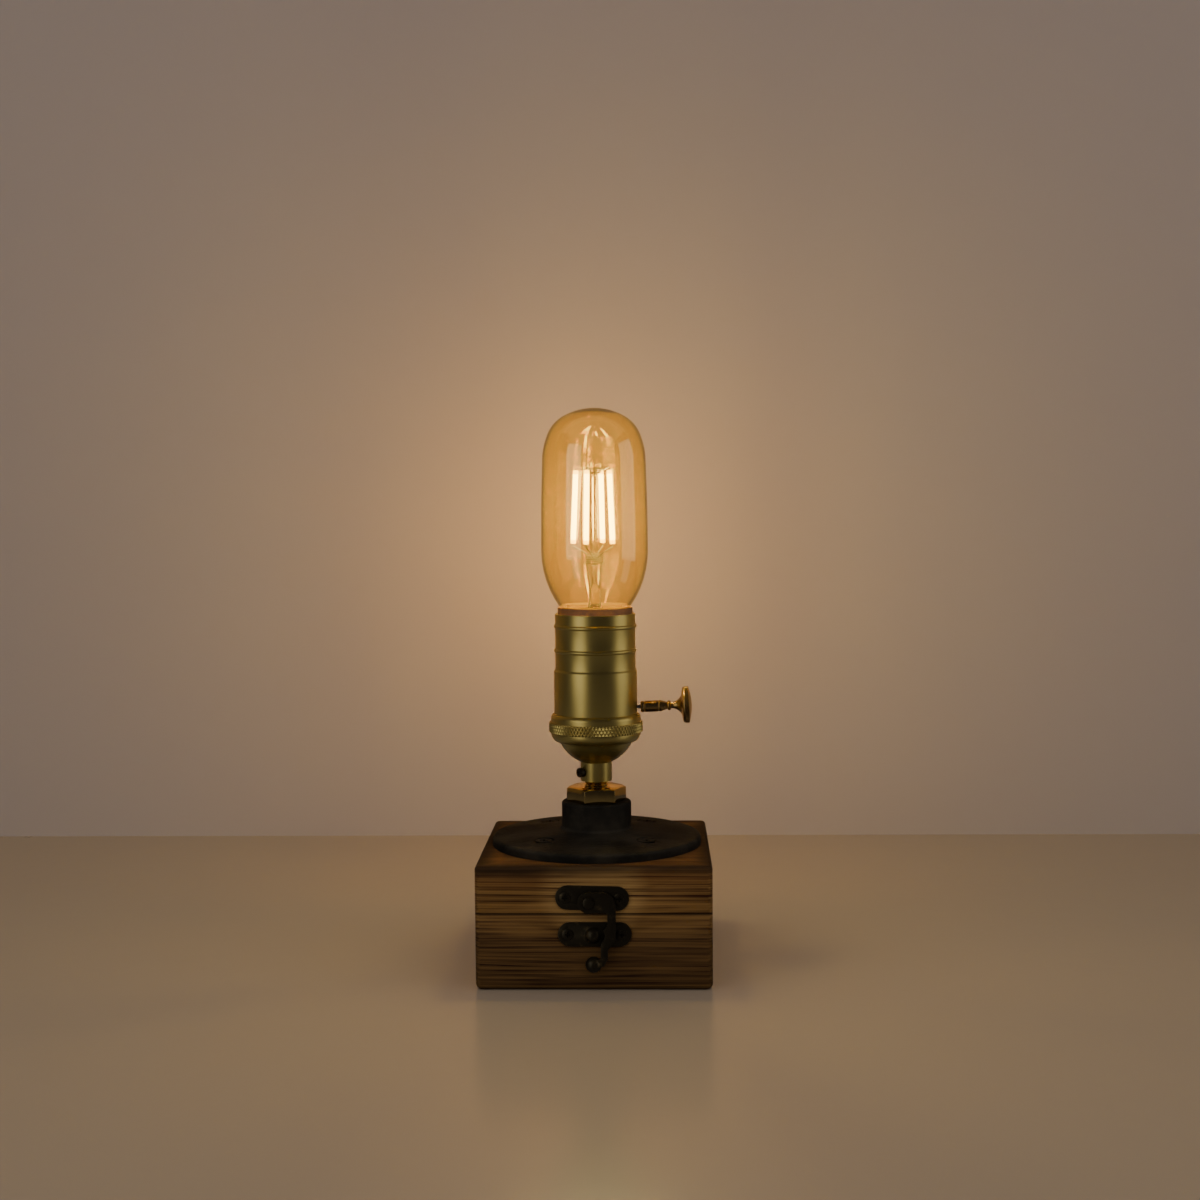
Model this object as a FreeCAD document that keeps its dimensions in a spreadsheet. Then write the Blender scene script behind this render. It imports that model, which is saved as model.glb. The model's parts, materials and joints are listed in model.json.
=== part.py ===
"""Table lamp on a wooden keepsake box: a hinged lid carries a pipe flange, a brass
keyed socket and a tubular filament bulb, and a swing latch closes the lid on the tray.

Millimetres, +Z up. The origin is the centre of the box's underside, -Y is the front
with the latch, and +X is the side of the switch knob.
"""
import FreeCAD, Part
import os
from math import atan2, cos, hypot, radians, sin, sqrt

import Sketcher
from FreeCAD import Placement, Rotation, Vector

# ---------------------------------------------------------------- driving sizes
SIZES = {
    # box
    "box_width": 95.0,
    "box_depth": 98.0,
    "tray_height": 30.85,
    "seam_gap": 0.3,
    "lid_height": 18.85,
    "wall": 8.0,
    "floor_thickness": 5.0,
    "corner_radius": 2.5,
    "lid_edge_radius": 1.5,
    # wiring recess under the lid
    "recess_half_width": 24.0,
    "recess_front": 22.0,
    "recess_back": 30.0,
    "recess_depth": 11.0,
    "rabbet_width": 5.0,
    "cover_thickness": 1.5,
    "wire_hole_radius": 6.0,
    "cover_screw_radius": 1.1,
    "cover_screw_head": 2.2,
    "cover_screw_length": 6.0,
    # cable gland in the back of the lid
    "gland_bore": 3.1,
    "gland_radius": 4.2,
    "gland_lip_radius": 5.5,
    "gland_lip": 2.2,
    "gland_rise": 7.5,
    # terminal block
    "block_width": 14.0,
    "block_depth": 12.0,
    "block_height": 8.0,
    "block_front": 8.0,
    "terminal_well": 1.4,
    "terminal_screw": 1.3,
    # wires
    "wire_radius": 0.9,
    "wire_spacing": 5.0,
    "wire_bend": 4.0,
    # flange
    "flange_radius": 44.2,
    "flange_rim": 2.2,
    "flange_round": 1.5,
    "flange_rise": 2.7,
    "hub_radius": 14.7,
    "hub_height": 18.0,
    "hub_fillet": 1.5,
    "hub_round": 1.0,
    "hub_bore": 10.4,
    "bolt_circle_radius": 30.0,
    "bolt_hole_radius": 2.6,
    "countersink_radius": 4.4,
    "countersink_depth": 2.2,
    "wood_screw_length": 10.0,
    "wood_screw_radius": 1.9,
    # hexagon bushing and nipple
    "hex_across_flats": 22.0,
    "hex_height": 6.0,
    "hex_turn": 9.0,
    "hex_chamfer": 1.2,
    "bushing_shank": 11.0,
    "nipple_radius": 5.0,
    "nipple_bore": 3.6,
    "nipple_show": 2.5,
    "nipple_grip": 14.0,
    # socket
    "neck_radius": 6.65,
    "neck_height": 8.2,
    "dome_radius": 16.95,
    "cap_rim_radius": 16.9,
    "cap_rim": 1.0,
    "cap_wall": 0.8,
    "cap_skirt": 5.8,
    "dome_rise": 9.0,
    "set_screw_height": 4.0,
    "set_screw_turn": 215.0,
    "set_screw_radius": 2.0,
    "set_screw_thread": 1.5,
    "set_screw_reach": 9.0,
    "ring_radius": 19.9,
    "ring_lip_radius": 19.0,
    "ring_foot_radius": 17.3,
    "ring_foot_round": 4.7,
    "ring_top_radius": 17.9,
    "ring_top_round": 2.2,
    "ring_top_edge": 2.0,
    "ring_height": 11.6,
    "ring_band": 4.3,
    "ring_band_low": 3.8,
    "shell_radius": 17.55,
    "shell_neck_radius": 16.95,
    "shell_wall": 0.5,
    "shell_seat": 2.8,
    "shell_height": 51.0,
    "shell_step": 26.8,
    "shell_step_rise": 0.9,
    "bead_low": 35.5,
    "bead_high": 45.7,
    "bead_width": 1.7,
    "bead_rise": 0.55,
    "lip_height": 1.5,
    "liner_radius": 15.8,
    "liner_wall": 0.5,
    "liner_show": 2.7,
    "mechanism_radius": 16.0,
    "mechanism_height": 18.5,
    "rotor_slot_width": 9.0,
    "disc_thickness": 3.5,
    "screw_shell_radius": 14.0,
    "screw_shell_wall": 0.5,
    "screw_shell_height": 27.0,
    "contact_radius": 4.0,
    "contact_height": 1.5,
    "contact_tongue_radius": 2.0,
    # switch
    "switch_rise": 12.35,
    "switch_tilt": 2.4,
    "shaft_radius": 0.8,
    "shaft_clearance": 0.06,
    "shell_hole_radius": 1.5,
    "stem_start": 19.0,
    "stem_radius": 2.4,
    "stem_length": 8.5,
    "stem_taper": 2.7,
    "stem_tip_radius": 1.5,
    "bead_radius": 2.1,
    "bead_length": 1.65,
    "knob_neck_radius": 1.3,
    "knob_flare_radius": 4.0,
    "knob_flare_length": 4.4,
    "knob_flare_bend": 5.0,
    "knob_back": 0.5,
    "knob_round": 0.9,
    "knob_radius": 7.7,
    "knob_rim": 1.8,
    "knob_dome": 1.2,
    "rotor_radius": 3.2,
    "rotor_length": 6.0,
    "rotor_flat": 1.6,
    # bulb
    "bulb_gap": 0.3,
    "cap_show": 2.2,
    "tip_radius": 4.8,
    "tip_height": 1.2,
    "insulator_height": 3.2,
    "bulb_cap_radius": 13.1,
    "bulb_cap_height": 21.5,
    "bulb_cap_wall": 0.4,
    "glass_wall": 0.8,
    "glass_grip": 6.5,
    "glass_neck_radius": 14.9,
    "glass_neck_rise": 0.7,
    "glass_radius": 22.5,
    "glass_flare_rise": 23.7,
    "glass_side_rise": 39.6,
    "glass_shoulder_radius": 21.7,
    "glass_shoulder_bend": 31.0,
    "glass_bend_radius": 19.6,
    "glass_bend_rise": 8.9,
    "glass_crown_bend": 15.2,
    "glass_crown_radius": 12.0,
    "glass_crown_rise": 8.3,
    "glass_top_rise": 2.9,
    # parts inside the bulb
    "stem_flare_radius": 11.0,
    "stem_flare_height": 9.0,
    "stem_flare_bend": 13.5,
    "stem_press_radius": 2.6,
    "stem_press_height": 5.0,
    "stem_press_taper": 2.5,
    "stem_rod_radius": 1.2,
    "stem_hub_radius": 3.2,
    "stem_hub_low": 44.0,
    "stem_hub_height": 5.0,
    "stem_top_hub_low": 82.0,
    "filament_radius": 1.1,
    "filament_low": 53.0,
    "filament_length": 31.0,
    "filament_low_ring": 9.4,
    "filament_top_ring": 8.0,
    "support_wire_radius": 0.3,
    # latch
    "plate_length": 29.4,
    "plate_height": 9.8,
    "plate_thickness": 0.9,
    "latch_plate_x": -0.5,
    "latch_plate_rise": 6.5,
    "latch_plate_tilt": 1.3,
    "keeper_x": 0.5,
    "keeper_drop": 8.1,
    "plate_screw_spacing": 21.6,
    "plate_screw_head": 2.3,
    "plate_screw_rise": 0.6,
    "plate_screw_radius": 1.1,
    "plate_screw_length": 6.0,
    "stud_x": -0.2,
    "stud_drop": 8.4,
    "stud_radius": 3.3,
    "stud_height": 2.4,
    "pivot_x": -1.9,
    "pivot_rise": 5.2,
    "rivet_radius": 1.5,
    "rivet_clearance": 0.06,
    "rivet_head_radius": 2.2,
    "rivet_head_height": 0.9,
    "arm_gap": 0.2,
    "arm_lift": 1.0,
    "arm_thickness": 1.5,
    "arm_boss_radius": 4.3,
    "arm_half_height": 4.1,
    "arm_outer": 10.8,
    "arm_bar_width": 3.3,
    "arm_corner": 5.5,
    "arm_inner_corner": 1.3,
    "notch_radius": 3.5,
    "notch_top_angle": 35.0,
    "notch_lip_angle": 50.0,
    "notch_lead": 2.3,
    "hook_angle": 5.0,
    "heel_drop": 15.0,
    "tail_width": 2.8,
    "tail_lip": 1.6,
    "tail_top_drop": 19.0,
    "tail_end_drop": 22.4,
    "tail_outer": 7.6,
    "tail_set": 1.0,
    "ramp_drop": 15.7,
    "ramp_length": 4.0,
    "thumb_x": 0.0,
    "thumb_drop": 19.7,
    "thumb_radius": 3.3,
    "thumb_height": 2.6,
    # hinges
    "hinge_x": 26.0,
    "hinge_width": 18.0,
    "leaf_height": 12.0,
    "leaf_thickness": 1.2,
    "knuckle_radius": 2.0,
    "knuckle_stand_off": 2.3,
    "knuckle_gap": 0.2,
    "knuckle_relief": 0.6,
    "pin_radius": 1.0,
    "pin_clearance": 0.05,
    "hinge_screw_spacing": 11.0,
    "hinge_screw_head": 1.8,
    "hinge_screw_rise": 0.6,
    "hinge_screw_radius": 0.9,
    "hinge_screw_length": 5.5,
    "pilot_clearance": 0.05,
}
FILAMENT_TURNS = (165.0, 250.0, 325.0, 70.0)
HEX_SIDES = 6
CORNERS = ((-1, -1), (1, -1), (1, 1), (-1, 1))
SIDES = (-1, 1)

doc = FreeCAD.newDocument("box_lamp")
sheet = doc.addObject("Spreadsheet::Sheet", "Sizes")
for row, (alias, number) in enumerate(SIZES.items(), 1):
    sheet.set(f"A{row}", alias)
    sheet.set(f"B{row}", str(number))
    sheet.setAlias(f"B{row}", alias)
doc.recompute()


class Size:
    """A number together with the sheet expression that gives it."""

    def __init__(self, value, text):
        self.value = value
        self.text = text

    def __add__(self, other):
        other = as_size(other)
        return Size(self.value + other.value, f"({self.text} + {other.text})")

    def __sub__(self, other):
        other = as_size(other)
        return Size(self.value - other.value, f"({self.text} - {other.text})")

    def __mul__(self, other):
        other = as_size(other)
        return Size(self.value * other.value, f"({self.text} * {other.text})")

    def __truediv__(self, other):
        other = as_size(other)
        return Size(self.value / other.value, f"({self.text} / {other.text})")

    def __radd__(self, other):
        return as_size(other) + self

    def __rsub__(self, other):
        return as_size(other) - self

    def __rmul__(self, other):
        return as_size(other) * self

    def __neg__(self):
        return as_size(0) - self


def as_size(number):
    return number if isinstance(number, Size) else Size(float(number), f"({float(number)})")


def root(size):
    return Size(sqrt(size.value), f"sqrt({size.text})")


def cosine(size):
    return Size(cos(radians(size.value)), f"cos({size.text})")


def sine(size):
    return Size(sin(radians(size.value)), f"sin({size.text})")


class Sheet:
    """Reads a sheet cell as a Size, by its alias."""

    def __getattr__(self, alias):
        return Size(float(sheet.get(alias)), f"Sizes.{alias}")


S = Sheet()
ZERO = as_size(0)


# ---------------------------------------------------------------- building blocks
def bind(obj, prop, size):
    obj.setExpression(prop, as_size(size).text)


def move(obj, x=0, y=0, z=0):
    for axis, size in (("x", x), ("y", y), ("z", z)):
        bind(obj, f"Placement.Base.{axis}", size)
    return obj


def block(name, x, y, z):
    """A box between three (low, high) pairs."""
    box = doc.addObject("Part::Box", name)
    for prop, (low, high) in (("Length", x), ("Width", y), ("Height", z)):
        bind(box, prop, high - low)
    return move(box, x[0], y[0], z[0])


TURN_TO = {
    "X": Rotation(Vector(0, 1, 0), 90),
    "Y": Rotation(Vector(1, 0, 0), -90),
    "-Y": Rotation(Vector(1, 0, 0), 90),
    "Z": Rotation(),
    "-Z": Rotation(Vector(1, 0, 0), 180),
}


def rod(name, radius, length, axis="Z", x=0, y=0, z=0, top_radius=None):
    """A cylinder, or a cone with a top radius, that starts at x, y, z and runs along an axis."""
    solid = doc.addObject("Part::Cylinder" if top_radius is None else "Part::Cone", name)
    if top_radius is None:
        bind(solid, "Radius", radius)
    else:
        bind(solid, "Radius1", radius)
        bind(solid, "Radius2", top_radius)
    bind(solid, "Height", length)
    solid.Placement = Placement(Vector(), TURN_TO[axis])
    return move(solid, x, y, z)


def fuse(name, *parts):
    joined = doc.addObject("Part::MultiFuse", name)
    joined.Shapes = list(parts)
    return joined


def cut(name, base, *tools):
    result = doc.addObject("Part::Cut", name)
    result.Base = base
    result.Tool = tools[0] if len(tools) == 1 else fuse(name + "_tools", *tools)
    return result


def group(name, *parts):
    """Separate solids that share one node."""
    compound = doc.addObject("Part::Compound", name)
    compound.Links = list(parts)
    return compound


def new_sketch(body, plane, offset=ZERO):
    """A sketch on one of the body's origin planes, moved along the plane's normal."""
    sketch = body.newObject("Sketcher::SketchObject", body.Name + "_sketch")
    support = [f for f in body.Origin.OriginFeatures if f.Role == plane][0]
    sketch.AttachmentSupport = [(support, "")]
    sketch.MapMode = "FlatFace"
    bind(sketch, "AttachmentOffset.Base.z", offset)
    return sketch


def arc_between(start, end, radius, turn):
    """The short arc from start to end, and whether it runs clockwise (turn -1)."""
    middle = ((start[0] + end[0]) / 2, (start[1] + end[1]) / 2)
    chord = (end[0] - start[0], end[1] - start[1])
    length = hypot(*chord)
    height = sqrt(max(radius * radius - length * length / 4, 0.0))
    centre = (middle[0] - turn * chord[1] / length * height,
              middle[1] + turn * chord[0] / length * height)
    first, last = (start, end) if turn > 0 else (end, start)
    angles = [atan2(p[1] - centre[1], p[0] - centre[0]) for p in (first, last)]
    circle = Part.Circle(Vector(*centre, 0), Vector(0, 0, 1), radius)
    return Part.ArcOfCircle(circle, *angles)


def outline(sketch, *corners):
    """A closed outline. A corner is (u, v), or (u, v, radius, turn) where an arc leaves it:
    turn 1 is counter-clockwise in the sketch, -1 clockwise."""
    corners = [tuple(as_size(c) for c in corner[:3]) + tuple(corner[3:]) for corner in corners]
    places = [(u.value, v.value) for u, v, *rest in corners]
    ends = []
    for number, corner in enumerate(corners):
        start, end = places[number], places[(number + 1) % len(corners)]
        if len(corner) == 2:
            edge = sketch.addGeometry(Part.LineSegment(Vector(*start, 0), Vector(*end, 0)), False)
            ends.append((edge, 1, 2))
        else:
            radius, turn = corner[2], corner[3]
            edge = sketch.addGeometry(arc_between(start, end, radius.value, turn), False)
            ends.append((edge, 1, 2) if turn > 0 else (edge, 2, 1))
    for number, (edge, first, last) in enumerate(ends):
        following, follows_first, _ = ends[(number + 1) % len(ends)]
        sketch.addConstraint(Sketcher.Constraint("Coincident", edge, last, following, follows_first))
        u, v = corners[number][:2]
        for kind, axis, size in (("DistanceX", -2, u), ("DistanceY", -1, v)):
            if abs(size.value) < 1e-9:
                sketch.addConstraint(Sketcher.Constraint("PointOnObject", edge, first, axis))
            else:
                hold(sketch, Sketcher.Constraint(kind, -1, 1, edge, first, size.value), size)
        if len(corners[number]) == 4:
            radius = corners[number][2]
            hold(sketch, Sketcher.Constraint("Radius", edge, radius.value), radius)


def hold(sketch, constraint, size):
    number = sketch.addConstraint(constraint)
    sketch.setExpression(f"Constraints[{number}]", size.text)


def turned(name, *corners, axis="V_Axis"):
    """A body of revolution: (radius, height) about Z, or (along, radius) about X."""
    body = doc.addObject("PartDesign::Body", name)
    sketch = new_sketch(body, "XZ_Plane")
    outline(sketch, *corners)
    turn = body.newObject("PartDesign::Revolution", name + "_turn")
    turn.Profile = sketch
    turn.ReferenceAxis = (sketch, [axis])
    turn.Angle = 360
    doc.recompute()
    return body


def padded(name, plane, low, thickness, *corners):
    """A flat body: an outline on an origin plane, lifted by low and padded by thickness."""
    body = doc.addObject("PartDesign::Body", name)
    sketch = new_sketch(body, plane, low)
    outline(sketch, *corners)
    pad = body.newObject("PartDesign::Pad", name + "_pad")
    pad.Profile = sketch
    bind(pad, "Length", thickness)
    doc.recompute()
    return body


def rounded(body, radius, keep):
    """Rounds the edges of a body whose bounding box keep() picks."""
    base = body.Tip
    picked = [f"Edge{n}" for n, edge in enumerate(base.Shape.Edges, 1) if keep(edge.BoundBox)]
    fillet = body.newObject("PartDesign::Fillet", f"{base.Name}_round")
    fillet.Base = (base, picked)
    bind(fillet, "Radius", radius)
    body.Tip = fillet
    doc.recompute()
    return body


def dome(name, radius, height, axis, x, y, z):
    """A spherical cap with a flat base at x, y, z."""
    sphere = (radius * radius + height * height) / (2 * height)
    cap = turned(name, (0, 0), (radius, 0, sphere, 1), (0, height))
    cap.Placement = Placement(Vector(), TURN_TO[axis])
    return move(cap, x, y, z)


def screw(name, seat, outward, head_radius, rise, shank_radius, length):
    """A dome-headed screw whose head stands on a seat point and whose shank runs inward."""
    inward = "Y" if outward == "-Y" else "-Y"
    head = dome(name + "_head", head_radius, rise, outward, *seat)
    shank = rod(name + "_shank", shank_radius, length, inward, *seat)
    return fuse(name, head, shank)


# ---------------------------------------------------------------- shared places
half_width = S.box_width / 2
back = S.box_depth / 2
front = -back
inner_x = half_width - S.wall
inner_y = back - S.wall
lid_bottom = S.tray_height + S.seam_gap
lid_top = lid_bottom + S.lid_height
seam = S.tray_height + S.seam_gap / 2
recess_top = lid_bottom + S.recess_depth
gland_z = lid_bottom + S.gland_rise

rim_top = lid_top + S.flange_rim + S.flange_round
rim_inner = S.flange_radius - S.flange_round
hub_foot = S.hub_radius + S.hub_fillet
flange_slope = S.flange_rise / (rim_inner - hub_foot)
bolt_top = rim_top + flange_slope * (rim_inner - S.bolt_circle_radius)
bolt_offset = S.bolt_circle_radius / root(as_size(len(CORNERS) / 2))
hub_top = lid_top + S.hub_height
hex_top = hub_top + S.hex_height
neck_bottom = hex_top + S.nipple_show
neck_top = neck_bottom + S.neck_height
rim_bottom = neck_top + S.dome_rise
dome_centre = neck_top + root(S.dome_radius * S.dome_radius - S.neck_radius * S.neck_radius)
mechanism_bottom = rim_bottom + S.cap_rim
mechanism_top = mechanism_bottom + S.mechanism_height
disc_top = mechanism_top + S.disc_thickness
switch_z = mechanism_bottom + S.switch_rise
shell_bottom = rim_bottom + S.shell_seat
shell_top = shell_bottom + S.shell_height
bulb_cap_top = shell_top + S.cap_show
bulb_cap_bottom = bulb_cap_top - S.bulb_cap_height
bulb_tip = bulb_cap_bottom - S.insulator_height - S.tip_height

plate_face = back + S.plate_thickness
arm_back = plate_face + S.arm_lift
arm_face = arm_back + S.arm_thickness
tail_back = arm_back + S.tail_set
barrel_y = back + S.knuckle_stand_off
leaf_face = back + S.leaf_thickness

latch_plate_z = seam + S.latch_plate_rise
keeper_z = seam - S.keeper_drop
stud_z = seam - S.stud_drop
pivot_z = seam + S.pivot_rise
thumb_z = seam - S.thumb_drop
plate_screws = [S.plate_screw_spacing / 2 * side for side in SIDES]
lid_screw_spots = [(S.latch_plate_x + reach * cosine(S.latch_plate_tilt),
                    latch_plate_z - reach * sine(S.latch_plate_tilt)) for reach in plate_screws]
keeper_screw_spots = [(S.keeper_x + reach, keeper_z) for reach in plate_screws]
hinge_centres = [S.hinge_x * side for side in SIDES]
hinge_screw_x = [centre + S.hinge_screw_spacing / 2 * side for centre in hinge_centres for side in SIDES]
hinge_screw_rise = (S.leaf_height + S.knuckle_radius) / 2
bolt_spots = [(bolt_offset * x, bolt_offset * y) for x, y in CORNERS]
cover_spots = [((S.recess_half_width + S.rabbet_width / 2) * x,
                S.recess_back + S.rabbet_width / 2 if y > 0 else -(S.recess_front + S.rabbet_width / 2))
               for x, y in CORNERS]


def near(low, size):
    return abs(low - size.value) < 1e-6


def upright(box):
    return box.ZLength > 1


def face_screw_holes(name, spots, y, axis):
    """Pilot holes for plate screws, as one list of tools."""
    return [rod(f"{name}_pilot_{n}", S.plate_screw_radius + S.pilot_clearance, S.plate_screw_length,
                axis, x, y, z) for n, (x, z) in enumerate(spots)]


def hinge_screw_holes(name, z):
    return [rod(f"{name}_pilot_{n}", S.hinge_screw_radius + S.pilot_clearance, S.hinge_screw_length,
                "-Y", x, back, z) for n, x in enumerate(hinge_screw_x)]


# ---------------------------------------------------------------- tray
def rectangle(x, y):
    return (x[0], y[0]), (x[1], y[0]), (x[1], y[1]), (x[0], y[1])


def end_board(name, side):
    """The front (-1) or back (1) board, full width, with rounded outer edges."""
    y = (front, -inner_y) if side < 0 else (inner_y, back)
    outer = y[0] if side < 0 else y[1]
    board = padded(name, "XY_Plane", ZERO, S.tray_height, *rectangle((-half_width, half_width), y))
    return rounded(board, S.corner_radius, lambda box: (
        upright(box) and near(box.YMin, outer)
        or near(box.ZMax, ZERO) and (near(box.YMin, outer) and near(box.YMax, outer) or box.XLength < 1)))


def side_board(name, side):
    x = (-half_width, -inner_x) if side < 0 else (inner_x, half_width)
    outer = x[0] if side < 0 else x[1]
    board = padded(name, "XY_Plane", ZERO, S.tray_height, *rectangle(x, (-inner_y, inner_y)))
    return rounded(board, S.corner_radius, lambda box: (
        near(box.ZMax, ZERO) and near(box.XMin, outer) and near(box.XMax, outer)))


def make_tray():
    front_board = cut("tray_front_board", end_board("tray_front_blank", -1),
                      *face_screw_holes("keeper", keeper_screw_spots, front, "Y"))
    back_board = cut("tray_back_board", end_board("tray_back_blank", 1),
                     *hinge_screw_holes("tray_hinge", seam - hinge_screw_rise))
    return {
        "tray_front_board": front_board,
        "tray_back_board": back_board,
        "tray_left_board": side_board("tray_left_board", -1),
        "tray_right_board": side_board("tray_right_board", 1),
        "tray_bottom_board": padded("tray_bottom_board", "XY_Plane", ZERO, S.floor_thickness,
                                    *rectangle((-inner_x, inner_x), (-inner_y, inner_y))),
    }


# ---------------------------------------------------------------- lid
def make_lid_board():
    blank = padded("lid_blank", "XY_Plane", lid_bottom, S.lid_height,
                   *rectangle((-half_width, half_width), (front, back)))
    rounded(blank, S.corner_radius, upright)
    rounded(blank, S.lid_edge_radius, lambda box: near(box.ZMin, lid_top) and near(box.ZMax, lid_top))
    recess = block("lid_recess", (-S.recess_half_width, S.recess_half_width),
                   (-S.recess_front, S.recess_back), (lid_bottom, recess_top))
    rabbet = block("lid_rabbet", *cover_span(), (lid_bottom, lid_bottom + S.cover_thickness))
    wire_hole = rod("lid_wire_hole", S.wire_hole_radius, lid_top - recess_top, "Z", z=recess_top)
    gland_hole = rod("lid_gland_hole", S.gland_radius, back - S.recess_back, "Y",
                     y=S.recess_back, z=gland_z)
    bolt_depth = S.countersink_depth + S.wood_screw_length - (bolt_top - lid_top)
    bolts = [rod(f"lid_bolt_pilot_{n}", S.wood_screw_radius + S.pilot_clearance, bolt_depth, "-Z",
                 x, y, lid_top) for n, (x, y) in enumerate(bolt_spots)]
    covers = [rod(f"lid_cover_pilot_{n}", S.cover_screw_radius + S.pilot_clearance, S.cover_screw_length,
                  "Z", x, y, lid_bottom + S.cover_thickness) for n, (x, y) in enumerate(cover_spots)]
    return cut("lid_board", blank, recess, rabbet, wire_hole, gland_hole, *bolts, *covers,
               *face_screw_holes("latch", lid_screw_spots, front, "Y"),
               *hinge_screw_holes("lid_hinge", seam + hinge_screw_rise))


def cover_span():
    reach = S.recess_half_width + S.rabbet_width
    return (-reach, reach), (-(S.recess_front + S.rabbet_width), S.recess_back + S.rabbet_width)


def make_cover():
    """The thin plate under the wiring recess, with countersunk screws flush beneath it."""
    plate = block("cover_blank", *cover_span(), (lid_bottom, lid_bottom + S.cover_thickness))
    holes = [rod(f"cover_hole_{n}", S.cover_screw_head, S.cover_thickness, "Z", x, y, lid_bottom,
                 top_radius=S.cover_screw_radius) for n, (x, y) in enumerate(cover_spots)]
    screws = []
    for n, (x, y) in enumerate(cover_spots):
        cone = rod(f"cover_screw_head_{n}", S.cover_screw_head, S.cover_thickness, "Z", x, y, lid_bottom,
                   top_radius=S.cover_screw_radius)
        shank = rod(f"cover_screw_shank_{n}", S.cover_screw_radius,
                    S.cover_screw_length - S.pilot_clearance, "Z", x, y, lid_bottom + S.cover_thickness)
        screws.append(fuse(f"cover_screw_{n}", cone, shank))
    return {"recess_cover": cut("recess_cover", plate, *holes),
            "recess_cover_screws": group("recess_cover_screws", *screws)}


def make_gland():
    """The lipped bushing in the lid's back where a mains lead would enter."""
    tube = rod("gland_tube", S.gland_radius, back - S.recess_back, "Y", y=S.recess_back, z=gland_z)
    lip = rod("gland_lip_ring", S.gland_lip_radius, S.gland_lip, "Y", y=back, z=gland_z)
    bore = rod("gland_hole", S.gland_bore, back - S.recess_back + S.gland_lip, "Y",
               y=S.recess_back, z=gland_z)
    return cut("cable_gland", fuse("gland_body", tube, lip), bore)


def make_terminal_block():
    """An insulating block with a screw at the bottom of each of its two wells."""
    y = (S.block_front, S.block_front + S.block_depth)
    low = recess_top - S.block_height
    body = block("terminal_body", (-S.block_width / 2, S.block_width / 2), y, (low, recess_top))
    well_depth = S.block_height / 2
    screw_length = well_depth / 2
    spots = [(S.wire_spacing / 2 * side, (y[0] + y[1]) / 2) for side in SIDES]
    wells = [rod(f"terminal_well_{n}", S.terminal_well, well_depth, "Z", *spot, low)
             for n, spot in enumerate(spots)]
    screws = [rod(f"terminal_screw_{n}", S.terminal_screw, screw_length, "Z", *spot,
                  low + well_depth - screw_length) for n, spot in enumerate(spots)]
    return {"terminal_block": cut("terminal_block", body, *wells),
            "terminal_block_screws": group("terminal_block_screws", *screws)}


def make_wires():
    """Two insulated leads from the socket down the nipple and back to the terminal block."""
    top, low = mechanism_bottom.value, (recess_top - S.block_height / 2).value
    bend, end, radius = S.wire_bend.value, S.block_front.value, S.wire_radius.value
    wires = []
    for side in SIDES:
        x = side * S.wire_spacing.value / 2
        slack = bend * (1 - sqrt(0.5))
        path = Part.Wire([
            Part.LineSegment(Vector(x, 0, top), Vector(x, 0, low + bend)).toShape(),
            Part.Arc(Vector(x, 0, low + bend), Vector(x, slack, low + slack), Vector(x, bend, low)).toShape(),
            Part.LineSegment(Vector(x, bend, low), Vector(x, end, low)).toShape()])
        ring = Part.Wire(Part.Circle(Vector(x, 0, top), Vector(0, 0, 1), radius).toShape())
        wires.append(path.makePipeShell([ring], True, False))
    feature = doc.addObject("Part::Feature", "lead_wires")
    feature.Shape = Part.makeCompound(wires)
    return feature


# ---------------------------------------------------------------- flange and fittings
def make_flange():
    """A cast floor flange: rounded rim, shallow cone up to a filleted hub, four countersunk holes."""
    cast = turned(
        "flange_blank",
        (S.hub_bore, lid_top), (S.flange_radius, lid_top),
        (S.flange_radius, lid_top + S.flange_rim, S.flange_round, 1), (rim_inner, rim_top),
        (hub_foot, rim_top + S.flange_rise, S.hub_fillet, -1),
        (S.hub_radius, rim_top + S.flange_rise + S.hub_fillet),
        (S.hub_radius, hub_top - S.hub_round, S.hub_round, 1), (S.hub_radius - S.hub_round, hub_top),
        (S.hub_bore, hub_top))
    holes = []
    for n, (x, y) in enumerate(bolt_spots):
        holes += [rod(f"flange_hole_{n}", S.bolt_hole_radius, bolt_top - lid_top, "Z", x, y, lid_top),
                  rod(f"flange_sink_{n}", S.bolt_hole_radius, S.countersink_depth, "Z", x, y,
                      bolt_top - S.countersink_depth, top_radius=S.countersink_radius),
                  rod(f"flange_open_{n}", S.countersink_radius, S.flange_round, "Z", x, y, bolt_top)]
    return cut("flange", cast, *holes)


def make_flange_screws():
    screws = []
    shank_radius = S.wood_screw_radius
    head_radius = S.countersink_radius - (S.bolt_hole_radius - shank_radius)
    for n, (x, y) in enumerate(bolt_spots):
        seat = bolt_top - S.countersink_depth
        head = rod(f"flange_screw_head_{n}", shank_radius, S.countersink_depth, "Z", x, y, seat,
                   top_radius=head_radius)
        shank = rod(f"flange_screw_shank_{n}", shank_radius, S.wood_screw_length, "-Z", x, y, seat)
        screws.append(fuse(f"flange_screw_{n}", head, shank))
    return group("flange_screws", *screws)


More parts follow.
